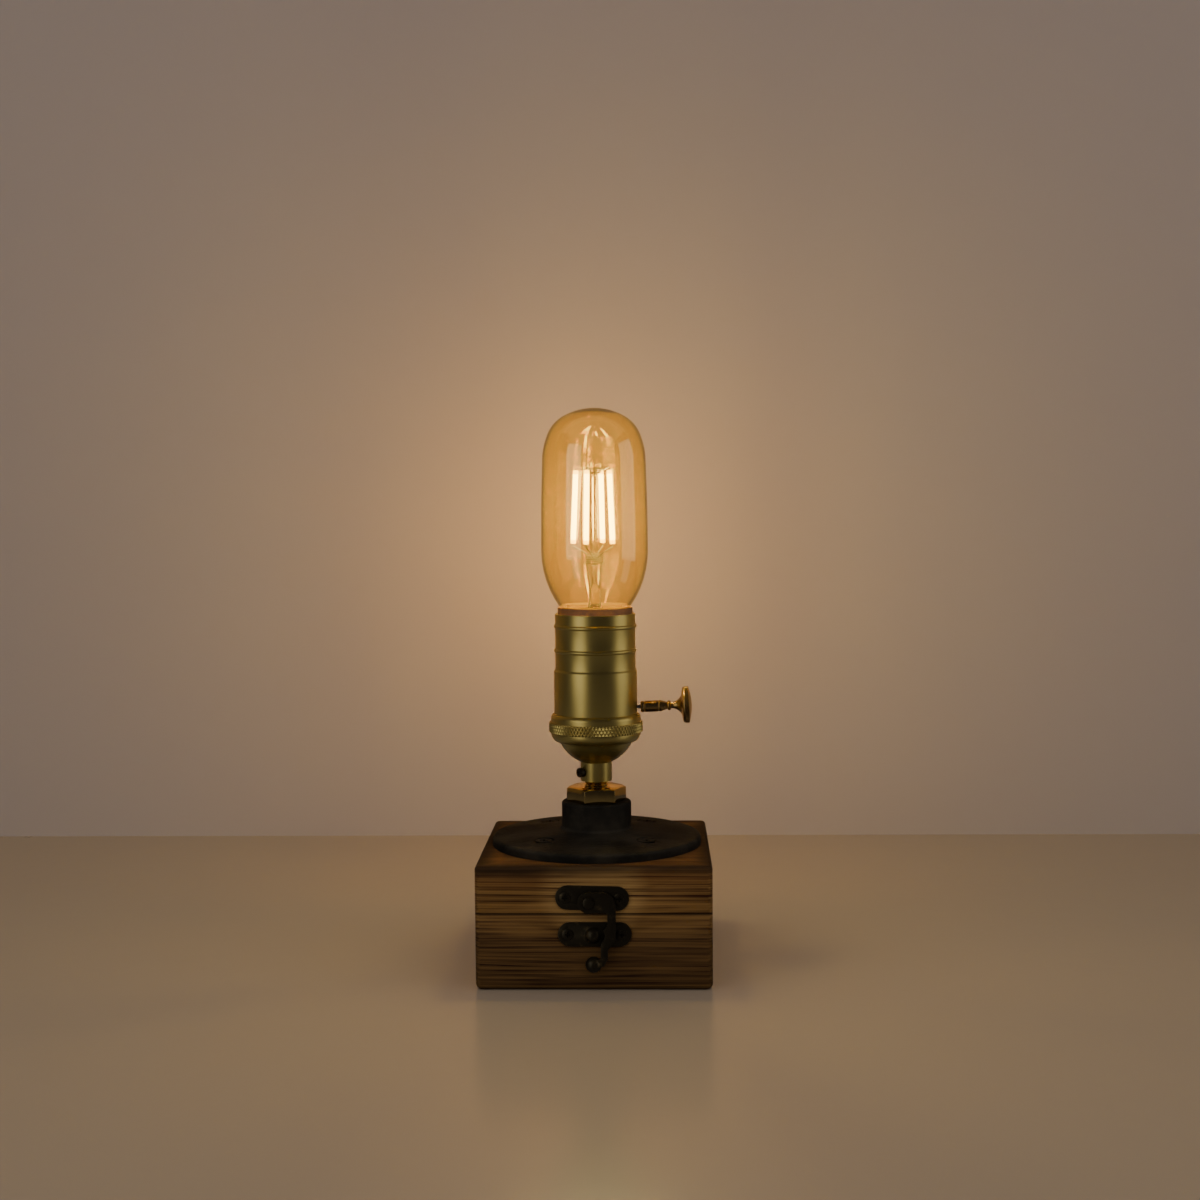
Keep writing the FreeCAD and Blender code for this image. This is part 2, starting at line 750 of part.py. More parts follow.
def make_bushing():
    """The brass hexagon bushing: a head chamfered at both ends on a shank in the flange's hub."""
    corner = S.hex_across_flats / 2 / cosine(as_size(180 / HEX_SIDES))
    prism = doc.addObject("Part::Prism", "hex_prism")
    prism.Polygon = HEX_SIDES
    bind(prism, "Circumradius", corner)
    bind(prism, "Height", S.hex_height)
    prism.Placement = Placement(Vector(), Rotation(Vector(0, 0, 1), S.hex_turn.value))
    move(prism, z=hub_top)
    outer, end = corner + S.hex_chamfer, corner - S.hex_chamfer
    chamfer = turned("hex_chamfer_form", (0, hub_top), (end, hub_top), (outer, hub_top + S.hex_chamfer),
                     (outer, hex_top - S.hex_chamfer), (end, hex_top), (0, hex_top))
    head = doc.addObject("Part::Common", "hex_head")
    head.Base, head.Tool = prism, chamfer
    shank = rod("bushing_shank", S.hub_bore, S.bushing_shank, "-Z", z=hub_top)
    length = S.hex_height + S.bushing_shank
    bore = rod("bushing_bore", S.nipple_radius, length, "Z", z=hub_top - S.bushing_shank)
    return cut("hex_bushing", fuse("bushing_body", head, shank), bore)


def make_nipple():
    """The threaded tube that joins the bushing and the socket's neck."""
    low = neck_bottom - S.nipple_grip
    length = S.nipple_grip + S.neck_height
    tube = rod("nipple_tube", S.nipple_radius, length, "Z", z=low)
    return cut("threaded_nipple", tube, rod("nipple_hole", S.nipple_bore, length, "Z", z=low))


# ---------------------------------------------------------------- socket
def dome_at(radius, height):
    """The radius, at a height, of a sphere about the dome's centre."""
    below = dome_centre - height
    return root(radius * radius - below * below)


def set_screw_rod(name, radius, start, length):
    """A rod that points out of the neck at the set screw's angle, from a distance start."""
    pin = rod(name, radius, length, "Z")
    turn = Rotation(Vector(0, 0, 1), S.set_screw_turn.value)
    pin.Placement = Placement(Vector(), turn.multiply(TURN_TO["X"]))
    return move(pin, start * cosine(S.set_screw_turn), start * sine(S.set_screw_turn),
                neck_bottom + S.set_screw_height)


def make_cap():
    """The neck and dome of the socket, with a skirt that the ring and the shell close over."""
    inner = S.dome_radius - S.cap_wall
    ledge = mechanism_bottom
    skirt_top = rim_bottom + S.cap_skirt
    skirt_inner = S.cap_rim_radius - S.cap_wall
    neck_inner_top = dome_centre - root(inner * inner - S.nipple_radius * S.nipple_radius)
    form = turned(
        "cap_blank",
        (S.nipple_radius, neck_bottom), (S.neck_radius, neck_bottom),
        (S.neck_radius, neck_top, S.dome_radius, 1), (dome_at(S.dome_radius, rim_bottom), rim_bottom),
        (S.cap_rim_radius, rim_bottom), (S.cap_rim_radius, skirt_top), (skirt_inner, skirt_top),
        (skirt_inner, ledge), (dome_at(inner, ledge), ledge, inner, -1),
        (S.nipple_radius, neck_inner_top))
    hole = set_screw_rod("set_screw_hole", S.set_screw_thread, S.nipple_bore, S.neck_radius)
    return cut("socket_cap", form, hole)


def make_set_screw():
    shank = set_screw_rod("set_screw_shank", S.set_screw_thread, S.nipple_radius,
                          S.neck_radius - S.nipple_radius)
    head = set_screw_rod("set_screw_head", S.set_screw_radius, S.neck_radius,
                         S.set_screw_reach - S.neck_radius)
    return fuse("set_screw", shank, head)


def make_ring():
    """The knurled ring that clamps the shell to the cap."""
    band_low = rim_bottom + S.ring_band_low
    band_top = band_low + S.ring_band
    ring_top = rim_bottom + S.ring_height
    return turned(
        "socket_ring",
        (S.cap_rim_radius, rim_bottom), (S.ring_foot_radius, rim_bottom, S.ring_foot_round, 1),
        (S.ring_lip_radius, band_low), (S.ring_radius, band_low), (S.ring_radius, band_top),
        (S.ring_lip_radius, band_top), (S.ring_lip_radius, ring_top - S.ring_top_edge, S.ring_top_round, 1),
        (S.ring_top_radius, ring_top), (S.shell_radius, ring_top), (S.shell_radius, shell_bottom),
        (S.cap_rim_radius, shell_bottom))


def bead(middle):
    """The two corners of a half-round bead on the shell's upper part."""
    half = S.bead_width / 2
    bend = (half * half + S.bead_rise * S.bead_rise) / (2 * S.bead_rise)
    return (S.shell_neck_radius, middle - half, bend, 1), (S.shell_neck_radius, middle + half)


def make_shell():
    """The long brass shell, stepped in above the switch, with two beads and a rolled-in lip."""
    step = shell_bottom + S.shell_step
    step_top = step + S.shell_step_rise
    lip = shell_top - S.lip_height
    neck_inner = S.shell_neck_radius - S.shell_wall
    inner = S.shell_radius - S.shell_wall
    form = turned(
        "shell_blank",
        (inner, shell_bottom), (S.shell_radius, shell_bottom), (S.shell_radius, step),
        (S.shell_neck_radius, step_top), *bead(shell_bottom + S.bead_low),
        *bead(shell_bottom + S.bead_high), (S.shell_neck_radius, shell_top),
        (S.liner_radius, shell_top), (S.liner_radius, lip), (neck_inner, lip),
        (neck_inner, step_top), (inner, step))
    hole = switch_rod("shell_hole", S.shell_hole_radius, S.mechanism_radius, S.ring_radius)
    return cut("socket_shell", form, hole)


def make_socket_inside():
    """The switch mechanism, contact disc, screw shell, centre contact and the paper liner."""
    body = rod("mechanism_blank", S.mechanism_radius, S.mechanism_height, "Z", z=mechanism_bottom)
    half = S.rotor_slot_width / 2
    slot = block("rotor_slot", (-half, half), (-half, half), (switch_z - half, mechanism_top))
    bore = switch_rod("shaft_bore", S.shaft_radius + S.shaft_clearance, ZERO, S.shell_radius)
    shell_tube = rod("screw_shell_blank", S.screw_shell_radius, S.screw_shell_height, "Z", z=disc_top)
    shell_bore = rod("screw_shell_bore", S.screw_shell_radius - S.screw_shell_wall,
                     S.screw_shell_height, "Z", z=disc_top)
    base = rod("contact_base", S.contact_radius, S.contact_height, "Z", z=disc_top)
    tongue_low = disc_top + S.contact_height
    tongue = rod("contact_tongue", S.contact_tongue_radius, bulb_tip - S.bulb_gap - tongue_low, "Z",
                 z=tongue_low)
    liner_height = shell_top + S.liner_show - disc_top
    liner_tube = rod("liner_blank", S.liner_radius, liner_height, "Z", z=disc_top)
    liner_bore = rod("liner_bore", S.liner_radius - S.liner_wall, liner_height, "Z", z=disc_top)
    return {
        "switch_mechanism": cut("switch_mechanism", body, slot, bore),
        "contact_disc": rod("contact_disc", S.mechanism_radius, S.disc_thickness, "Z", z=mechanism_top),
        "screw_shell": cut("screw_shell", shell_tube, shell_bore),
        "centre_contact": fuse("centre_contact", base, tongue),
        "shell_liner": cut("shell_liner", liner_tube, liner_bore),
    }


# ---------------------------------------------------------------- switch
def on_switch_axis(obj, turn):
    """Puts an object whose own axis is turned to X onto the slightly tilted switch axis."""
    obj.Placement = Placement(Vector(), Rotation(Vector(0, 1, 0), -S.switch_tilt.value).multiply(turn))
    return obj


def switch_rod(name, radius, start, end):
    """A rod along the switch axis between two distances from the lamp's axis."""
    pin = on_switch_axis(rod(name, radius, end - start, "Z"), TURN_TO["X"])
    return move(pin, start * cosine(S.switch_tilt), 0, switch_z + start * sine(S.switch_tilt))


def make_switch():
    """The shaft and rotor, the turned stem and the trumpet-shaped knob, all on the switch axis."""
    stem_end = S.stem_start + S.stem_length
    taper_end = stem_end + S.stem_taper
    stem = turned("switch_stem", (S.stem_start, 0), (taper_end, 0), (taper_end, S.stem_tip_radius),
                  (stem_end, S.stem_radius), (S.stem_start, S.stem_radius), axis="H_Axis")
    bead_end = taper_end + S.bead_length
    bead_rise = S.bead_radius - S.knob_neck_radius
    bead_bend = (S.bead_length * S.bead_length / 4 + bead_rise * bead_rise) / (2 * bead_rise)
    flare_end = bead_end + S.knob_flare_length
    rim_back = flare_end + S.knob_back
    rim_start = rim_back + S.knob_round
    rim_end = rim_start + S.knob_rim
    dome_bend = (S.knob_radius * S.knob_radius + S.knob_dome * S.knob_dome) / (2 * S.knob_dome)
    knob = turned(
        "switch_knob",
        (taper_end, 0), (rim_end + S.knob_dome, 0, dome_bend, 1), (rim_end, S.knob_radius),
        (rim_start, S.knob_radius, S.knob_round, 1), (rim_back, S.knob_radius - S.knob_round),
        (flare_end, S.knob_flare_radius, S.knob_flare_bend, -1),
        (bead_end, S.knob_neck_radius, bead_bend, 1), (taper_end, S.knob_neck_radius), axis="H_Axis")
    for part in (stem, knob):
        move(on_switch_axis(part, Rotation()), z=switch_z)
    socket = switch_rod("stem_socket", S.shaft_radius, S.stem_start, stem_end)
    rotor_end = S.rotor_length / 2
    rotor = switch_rod("rotor_blank", S.rotor_radius, -rotor_end, rotor_end)
    span = (-S.rotor_length, S.rotor_length)
    flat = block("rotor_flat", span, span, (switch_z + S.rotor_flat, switch_z + S.rotor_length))
    return {
        "switch_shaft": switch_rod("switch_shaft", S.shaft_radius, rotor_end, stem_end),
        "switch_stem": cut("switch_stem_bored", stem, socket),
        "switch_knob": knob,
        "switch_rotor": cut("switch_rotor", rotor, flat),
    }


# ---------------------------------------------------------------- bulb
def glass_form(name, inset, foot):
    """The tubular bulb's outline, drawn in by an inset, as a solid down to a foot height.
    Each point from the shoulder to the crown sinks by a further quarter of the inset."""
    neck = S.bulb_cap_radius - S.bulb_cap_wall - inset
    flare = S.glass_radius - S.glass_neck_radius
    flare_bend = (flare * flare + S.glass_flare_rise * S.glass_flare_rise) / (2 * flare)
    drawn = S.glass_radius - S.glass_shoulder_radius
    side_bend = (drawn * drawn + S.glass_side_rise * S.glass_side_rise) / (2 * drawn)
    neck_z = bulb_cap_top + S.glass_neck_rise
    belly_z = neck_z + S.glass_flare_rise
    sink = inset / 4
    shoulder_z = belly_z + S.glass_side_rise - sink
    bend_z = shoulder_z + S.glass_bend_rise - sink
    crown_z = bend_z + S.glass_crown_rise - sink
    crown = S.glass_crown_radius - inset / 2
    rise = S.glass_top_rise - sink
    return turned(
        name,
        (0, foot), (neck, foot), (neck, bulb_cap_top + inset),
        (S.glass_neck_radius - inset, neck_z + inset, flare_bend, 1),
        (S.glass_radius - inset, belly_z, side_bend, 1),
        (S.glass_shoulder_radius - inset, shoulder_z, S.glass_shoulder_bend, 1),
        (S.glass_bend_radius - inset, bend_z, S.glass_crown_bend, 1),
        (crown, crown_z, (crown * crown + rise * rise) / (2 * rise), 1), (0, crown_z + rise))


def strut(start, end, radius):
    """A straight wire or stick between two points."""
    return Part.makeCylinder(radius, start.distanceToPoint(end), start, end - start)


def around(radius, turn, z):
    return Vector(radius * cos(radians(turn)), radius * sin(radians(turn)), z)


def solids(name, shapes):
    feature = doc.addObject("Part::Feature", name)
    feature.Shape = Part.makeCompound(shapes)
    return feature


def make_bulb():
    tip_top = bulb_tip + S.tip_height
    foot = bulb_cap_top - S.glass_grip
    cap_inner = S.bulb_cap_radius - S.bulb_cap_wall
    cap_foot = cap_inner - S.insulator_height / 2
    cap = turned(
        "bulb_cap",
        (cap_foot - S.bulb_cap_wall * 2, bulb_cap_bottom), (cap_foot, bulb_cap_bottom),
        (S.bulb_cap_radius, bulb_cap_bottom + S.insulator_height / 2),
        (S.bulb_cap_radius, bulb_cap_top), (cap_inner, bulb_cap_top),
        (cap_inner, bulb_cap_bottom + S.insulator_height / 2 + S.bulb_cap_wall),
        (cap_foot - S.bulb_cap_wall, bulb_cap_bottom + S.bulb_cap_wall),
        (cap_foot - S.bulb_cap_wall * 2, bulb_cap_bottom + S.bulb_cap_wall))
    press_z = foot + S.stem_flare_height
    press_top = press_z + S.stem_press_height
    hub_z = bulb_tip + S.stem_hub_low
    top_z = bulb_tip + S.stem_top_hub_low
    hub_top_z = hub_z + S.stem_hub_height
    stem = turned(
        "glass_stem",
        (0, foot), (S.stem_flare_radius, foot, S.stem_flare_bend, -1),
        (S.stem_press_radius, press_z), (S.stem_press_radius, press_top),
        (S.stem_rod_radius, press_top + S.stem_press_taper), (S.stem_rod_radius, hub_z),
        (S.stem_hub_radius, hub_z + S.stem_rod_radius), (S.stem_hub_radius, hub_top_z - S.stem_rod_radius),
        (S.stem_rod_radius, hub_top_z), (S.stem_rod_radius, top_z),
        (S.stem_hub_radius, top_z + S.stem_rod_radius),
        (S.stem_hub_radius, top_z + S.stem_hub_height), (0, top_z + S.stem_hub_height))
    return {
        "bulb_tip_contact": rod("bulb_tip_contact", S.tip_radius, S.tip_height, "Z", z=bulb_tip),
        "bulb_insulator": rod("bulb_insulator", S.tip_radius + S.bulb_cap_wall, S.insulator_height, "Z",
                              z=tip_top, top_radius=cap_foot - S.bulb_cap_wall),
        "bulb_cap": cap,
        "bulb_glass": cut("bulb_glass", glass_form("glass_outside", ZERO, foot),
                          glass_form("glass_inside", S.glass_wall, foot - S.glass_wall)),
        "glass_stem": stem,
        "filaments": make_filaments(),
        "support_wires": make_support_wires(hub_top_z.value, top_z.value),
    }


def filament_ends(turn):
    low = (bulb_tip + S.filament_low).value
    return (around(S.filament_low_ring.value, turn, low),
            around(S.filament_top_ring.value, turn, low + S.filament_length.value))


def make_filaments():
    radius = S.filament_radius.value
    return solids("filaments", [strut(*filament_ends(turn), radius) for turn in FILAMENT_TURNS])


def make_support_wires(low_hub, top_hub):
    """Spokes from the stem's two hubs to the ends of each filament."""
    wire, rod_radius = S.support_wire_radius.value, S.stem_rod_radius.value
    hub_radius = S.stem_hub_radius.value
    spokes = []
    for turn in FILAMENT_TURNS:
        low, top = filament_ends(turn)
        drop = Vector(0, 0, wire)
        spokes.append(strut(around(rod_radius + wire / 2, turn, low_hub + rod_radius), low - drop, wire))
        spokes.append(strut(around(hub_radius + wire / 2, turn, top_hub + S.stem_hub_height.value / 2),
                            top + drop, wire))
    return solids("support_wires", spokes)


# ---------------------------------------------------------------- latch
def plate(name, x, z, spots):
    """A round-ended escutcheon on the box's front, with holes for its two screws."""
    end = S.plate_height / 2
    straight = S.plate_length / 2 - end
    blank = padded(name + "_blank", "XZ_Plane", ZERO, S.plate_thickness,
                   (-straight, -end), (straight, -end, end, 1), (straight + end, 0, end, 1),
                   (straight, end), (-straight, end, end, 1), (-straight - end, 0, end, 1))
    move(blank, x, front, z)
    holes = [rod(f"{name}_hole_{n}", S.plate_screw_radius + S.pilot_clearance, S.plate_thickness, "-Y",
                 sx, front, sz) for n, (sx, sz) in enumerate(spots)]
    return blank, holes


def face_screws(name, spots):
    return group(name, *[
        screw(f"{name}_{n}", (x, -plate_face, z), "-Y", S.plate_screw_head, S.plate_screw_rise,
              S.plate_screw_radius, S.plate_thickness + S.plate_screw_length - S.pilot_clearance)
        for n, (x, z) in enumerate(spots)])


def make_arm():
    """The swing arm: a boss at the pivot, a bar that turns down past the stud with a hook
    notch, and a tail set forward that ends in a domed thumb piece."""
    dx, dz = S.stud_x - S.pivot_x, stud_z - pivot_z
    swing, lean = cosine(S.hook_angle), sine(S.hook_angle)
    notch_x = S.pivot_x + dx * swing - dz * lean
    notch_z = pivot_z + dx * lean + dz * swing
    top, bottom = pivot_z + S.arm_half_height, pivot_z - S.arm_half_height
    outer = S.pivot_x + S.arm_outer
    inner = outer - S.arm_bar_width
    lip_x = notch_x + S.notch_radius * cosine(S.notch_lip_angle)
    lip_z = notch_z - S.notch_radius * sine(S.notch_lip_angle)
    notch_top_z = notch_z + S.notch_radius * sine(S.notch_top_angle)
    tail_outer = S.pivot_x + S.tail_outer
    tail_inner = tail_outer - S.tail_width
    tail_end = pivot_z - S.tail_end_drop
    half = S.thumb_radius / 2
    face = padded(
        "arm_outline", "XZ_Plane", arm_back, S.arm_thickness + S.tail_set,
        (S.pivot_x, bottom), (inner - S.arm_inner_corner, bottom, S.arm_inner_corner, -1),
        (inner, bottom - S.arm_inner_corner), (inner, notch_top_z + S.notch_lead),
        (notch_x + S.notch_radius * cosine(S.notch_top_angle), notch_top_z, S.notch_radius, -1),
        (lip_x, lip_z), (tail_inner, lip_z - S.tail_lip), (tail_inner, tail_end),
        (S.thumb_x, thumb_z + half), (S.thumb_x, thumb_z - half),
        (tail_outer - S.tail_width / 2, tail_end - S.tail_width), (tail_outer, tail_end),
        (tail_outer, pivot_z - S.tail_top_drop), (outer, pivot_z - S.heel_drop),
        (outer, top - S.arm_corner, S.arm_corner, 1), (outer - S.arm_corner, top), (S.pivot_x, top))
    ramp_top = pivot_z - S.ramp_drop
    ramp_low = ramp_top - S.ramp_length
    low = thumb_z - S.thumb_radius * 2
    side = padded(
        "arm_side", "YZ_Plane", -half_width, S.box_width,
        (-arm_back, top), (-arm_face, top), (-arm_face, ramp_top), (-(arm_face + S.tail_set), ramp_low),
        (-(arm_face + S.tail_set), low), (-tail_back, low), (-tail_back, ramp_low), (-arm_back, ramp_top))
    strip = doc.addObject("Part::Common", "arm_strip")
    strip.Base, strip.Tool = face, side
    boss_start = plate_face + S.arm_gap
    boss = rod("arm_boss", S.arm_boss_radius, arm_face - boss_start, "-Y", S.pivot_x, -boss_start, pivot_z)
    thumb = dome("arm_thumb", S.thumb_radius, S.thumb_height, "-Y", S.thumb_x, -tail_back, thumb_z)
    bore = rod("arm_bore", S.rivet_radius + S.rivet_clearance, arm_face - boss_start, "-Y",
               S.pivot_x, -boss_start, pivot_z)
    return cut("latch_arm", fuse("arm_body", strip, boss, thumb), bore)


def make_latch():
    upper, upper_holes = plate("latch_plate", S.latch_plate_x, latch_plate_z, lid_screw_spots)
    upper.Placement = Placement(Vector(), Rotation(Vector(0, 1, 0), S.latch_plate_tilt.value))
    move(upper, S.latch_plate_x, front, latch_plate_z)
    rivet_hole = rod("rivet_hole", S.rivet_radius, S.plate_thickness, "-Y", S.pivot_x, front, pivot_z)
    lower, lower_holes = plate("keeper_plate", S.keeper_x, keeper_z, keeper_screw_spots)
    stud = dome("keeper_stud", S.stud_radius, S.stud_height, "-Y", S.stud_x, -plate_face, stud_z)
    shaft_end = arm_face + S.arm_gap
    shaft = rod("rivet_shaft", S.rivet_radius, shaft_end - back, "-Y", S.pivot_x, front, pivot_z)
    head = dome("rivet_head", S.rivet_head_radius, S.rivet_head_height, "-Y",
                S.pivot_x, -shaft_end, pivot_z)
    return {
        "latch_plate": cut("latch_plate", upper, rivet_hole, *upper_holes),
        "latch_plate_screws": face_screws("latch_plate_screws", lid_screw_spots),
        "latch_pivot_rivet": fuse("latch_pivot_rivet", shaft, head),
        "keeper_plate": fuse("keeper_plate", cut("keeper_bored", lower, *lower_holes), stud),
        "keeper_plate_screws": face_screws("keeper_plate_screws", keeper_screw_spots),
        "latch_arm": make_arm(),
    }


# ---------------------------------------------------------------- hinges
def hinge_leaf(name, centre, side):
    """One leaf: side -1 for the tray's with the two outer knuckles, 1 for the lid's."""
    third = S.hinge_width / 3
    half = S.hinge_width / 2
    edge, tip = seam + S.seam_gap / 2 * side, seam + S.leaf_height * side
    z = (tip, edge) if side < 0 else (edge, tip)
    flat = block(name + "_flat", (centre - half, centre + half), (back, leaf_face), z)
    clear = S.knuckle_radius + S.knuckle_relief
    z = (seam - clear, seam + clear)
    y = (back - clear, barrel_y + clear)
    if side < 0:
        spans = [(centre - half, centre - third / 2 - S.knuckle_gap),
                 (centre + third / 2 + S.knuckle_gap, centre + half)]
        reliefs = [(centre - third / 2 - S.knuckle_gap, centre + third / 2 + S.knuckle_gap)]
    else:
        spans = [(centre - third / 2, centre + third / 2)]
        reliefs = [(centre - half, centre - third / 2), (centre + third / 2, centre + half)]
    cleared = cut(name + "_cleared", flat,
                  *[block(f"{name}_relief_{n}", x, y, z) for n, x in enumerate(reliefs)])
    knuckles = [rod(f"{name}_knuckle_{n}", S.knuckle_radius, x[1] - x[0], "X", x[0], barrel_y, seam)
                for n, x in enumerate(spans)]
    bore = rod(name + "_bore", S.pin_radius + S.pin_clearance, S.hinge_width, "X",
               centre - half, barrel_y, seam)
    holes = [rod(f"{name}_hole_{n}", S.hinge_screw_radius + S.pilot_clearance, S.leaf_thickness, "Y",
                 centre + S.hinge_screw_spacing / 2 * way, back, seam + hinge_screw_rise * side)
             for n, way in enumerate(SIDES)]
    return cut(name, fuse(name + "_solid", cleared, *knuckles), bore, *holes)


def hinge_screws(name, side):
    z = seam + hinge_screw_rise * side
    return group(name, *[
        screw(f"{name}_{n}", (x, leaf_face, z), "Y", S.hinge_screw_head, S.hinge_screw_rise,
              S.hinge_screw_radius, S.leaf_thickness + S.hinge_screw_length - S.pilot_clearance)
        for n, x in enumerate(hinge_screw_x)])


def make_hinges():
    leaves = {side: [hinge_leaf(f"hinge_{n}_leaf_{side + 1}", centre, side)
                     for n, centre in enumerate(hinge_centres)] for side in SIDES}
    pins = [rod(f"hinge_pin_{n}", S.pin_radius, S.hinge_width, "X",
                centre - S.hinge_width / 2, barrel_y, seam) for n, centre in enumerate(hinge_centres)]
    return {
        "tray_hinge_leaves": group("tray_hinge_leaves", *leaves[-1]),
        "lid_hinge_leaves": group("lid_hinge_leaves", *leaves[1]),
        "hinge_pins": group("hinge_pins", *pins),
        "tray_hinge_screws": hinge_screws("tray_hinge_screws", -1),
        "lid_hinge_screws": hinge_screws("lid_hinge_screws", 1),
    }


# ---------------------------------------------------------------- build and write
def make_nodes():
    nodes = make_tray()
    nodes["lid_board"] = make_lid_board()
    nodes.update(make_cover())
    nodes["cable_gland"] = make_gland()
    nodes.update(make_terminal_block())
    nodes["lead_wires"] = make_wires()
    nodes["flange"] = make_flange()
    nodes["flange_screws"] = make_flange_screws()
    nodes["hex_bushing"] = make_bushing()
    nodes["threaded_nipple"] = make_nipple()
    nodes["socket_cap"] = make_cap()
    nodes["set_screw"] = make_set_screw()
    nodes["socket_ring"] = make_ring()
    nodes["socket_shell"] = make_shell()
    nodes.update(make_socket_inside())
    nodes.update(make_switch())
    nodes.update(make_bulb())
    nodes.update(make_latch())
    nodes.update(make_hinges())
    return nodes


def check(nodes):
    doc.recompute()
    failed = [o.Name for o in doc.Objects if {"Invalid", "Error"} & set(o.State)]
    failed += [name for name, node in nodes.items() if node.Shape.isNull() or not node.Shape.isValid()]
    if failed:
        raise RuntimeError("failed: " + ", ".join(failed))


def write(nodes):
    os.makedirs("parts", exist_ok=True)
    for name, node in nodes.items():
        node.Label = name
        node.Shape.exportStep(f"parts/{name}.step")
        print(f"{name:24s} solids {len(node.Shape.Solids)}  volume {node.Shape.Volume:10.1f}")


nodes = make_nodes()
check(nodes)
write(nodes)
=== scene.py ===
# A table lamp on a scorched wooden box: brass keyed socket, amber filament bulb, cast flange
# and a swing latch. The CAD frame is in metres; sizes below are in millimetres.
import json
from math import acos, atan2, cos, hypot, pi, radians, sin, sqrt

import bmesh
import bpy
from mathutils import Matrix, Vector

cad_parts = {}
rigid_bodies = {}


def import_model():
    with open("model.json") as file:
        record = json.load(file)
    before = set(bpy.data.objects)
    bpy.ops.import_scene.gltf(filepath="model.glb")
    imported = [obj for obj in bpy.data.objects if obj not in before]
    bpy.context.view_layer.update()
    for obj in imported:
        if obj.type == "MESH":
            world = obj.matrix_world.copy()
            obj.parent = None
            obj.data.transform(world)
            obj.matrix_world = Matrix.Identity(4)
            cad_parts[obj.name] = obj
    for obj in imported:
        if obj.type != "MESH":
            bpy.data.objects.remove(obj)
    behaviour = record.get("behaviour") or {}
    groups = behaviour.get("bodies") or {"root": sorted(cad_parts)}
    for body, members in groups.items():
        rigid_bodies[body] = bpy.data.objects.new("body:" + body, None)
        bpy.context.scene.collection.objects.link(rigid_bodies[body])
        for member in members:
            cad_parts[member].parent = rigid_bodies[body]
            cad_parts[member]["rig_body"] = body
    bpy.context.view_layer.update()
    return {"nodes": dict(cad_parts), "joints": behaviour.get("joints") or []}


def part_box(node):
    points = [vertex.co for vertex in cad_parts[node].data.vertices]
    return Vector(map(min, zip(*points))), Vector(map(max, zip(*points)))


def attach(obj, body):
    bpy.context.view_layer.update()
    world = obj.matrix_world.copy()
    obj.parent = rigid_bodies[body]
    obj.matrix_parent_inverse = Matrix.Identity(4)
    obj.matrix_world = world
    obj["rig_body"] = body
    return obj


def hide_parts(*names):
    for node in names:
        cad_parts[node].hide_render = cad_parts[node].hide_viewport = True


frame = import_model()

MM = 0.001
JOINTS = {joint["name"]: joint for joint in frame["joints"]}


class Place:
    """A CAD node's box in millimetres: its low and high corner, and its middle."""

    def __init__(self, node):
        low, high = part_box(node)
        self.x0, self.y0, self.z0 = low / MM
        self.x1, self.y1, self.z1 = high / MM
        self.x, self.y, self.z = (low + high) / 2 / MM


# ---- camera, stage and light
CAMERA_PLACE = (23.9, -733.3, 199.8)
CAMERA_HEADING = 1.70
CAMERA_PITCH = -3.64
CAMERA_ROLL = -0.4525
LENS = 52.29
SENSOR = 36.0

WALL_Y = 264.0
STAGE_HALF = 4000.0
FLOOR_COLOUR = (0.215, 0.168, 0.124)
WALL_COLOUR = (0.235, 0.192, 0.172)
WALL_IN_GLOSS = (0.18, 0.13, 0.085)
AMBIENT = (0.74, 0.70, 0.66, 1)
AMBIENT_IN_GLOSS = (0.022, 0.021, 0.03, 1)
TABLE_IN_GLOSS = (0.1, 0.095, 0.1, 1)
TABLE_BELOW = -0.5      # the direction's Z at which gloss sees the table alone
BACKGROUND = (0.33, 0.26, 0.185, 1)
# each soft box: its heading from the front, its middle's height, its width, height and radiance;
# the low strips stand for the glare on a table top, which the socket mirrors
SOFT_BOX_DISTANCE = 900.0
SOFT_BOXES = {"soft_box_left": (-44, 330, 560, 650, 0.95),
              "soft_box_right": (81, 330, 620, 650, 0.72),
              "low_strip_left": (-40, -190, 300, 390, 0.6),
              "low_strip_right": (78, -190, 300, 390, 0.42)}
CEILING_PLACE = (0, -200, 1100)
CEILING_SIZE = 2500.0
CEILING_RADIANCE = 0.55
GLOW_X, GLOW_HEIGHT = -19.0, 173.0
GLOW_COLOUR = (1.0, 0.48, 0.06)
# the bulb's light on the wall: each light's Y, width, height and radiance
WALL_GLOWS = {"wide_glow": (81, 60, 60, 25.0), "near_glow": (191, 60, 120, 5.0)}


def link(obj):
    bpy.context.scene.collection.objects.link(obj)
    return obj


def make_camera():
    data = bpy.data.cameras.new("camera")
    data.lens, data.sensor_width = LENS, SENSOR
    camera = link(bpy.data.objects.new("camera", data))
    turn = (Matrix.Rotation(radians(CAMERA_HEADING), 4, "Z")
            @ Matrix.Rotation(radians(90 + CAMERA_PITCH), 4, "X")
            @ Matrix.Rotation(radians(CAMERA_ROLL), 4, "Z"))
    camera.matrix_world = Matrix.Translation(Vector(CAMERA_PLACE) * MM) @ turn
    bpy.context.scene.camera = camera


def area_light(name, place, target, width, height, radiance, colour=(1, 1, 1)):
    """A soft box, given by the radiance of its face, that the camera doesn't see."""
    data = bpy.data.lights.new(name, "AREA")
    data.shape, data.size, data.size_y = "RECTANGLE", width * MM, height * MM
    data.energy = radiance * pi * data.size * data.size_y
    data.color = colour
    light = link(bpy.data.objects.new(name, data))
    aim = (Vector(target) - Vector(place)).to_track_quat("-Z", "Y")
    light.matrix_world = Matrix.Translation(Vector(place) * MM) @ aim.to_matrix().to_4x4()
    light.visible_camera = False
    return light


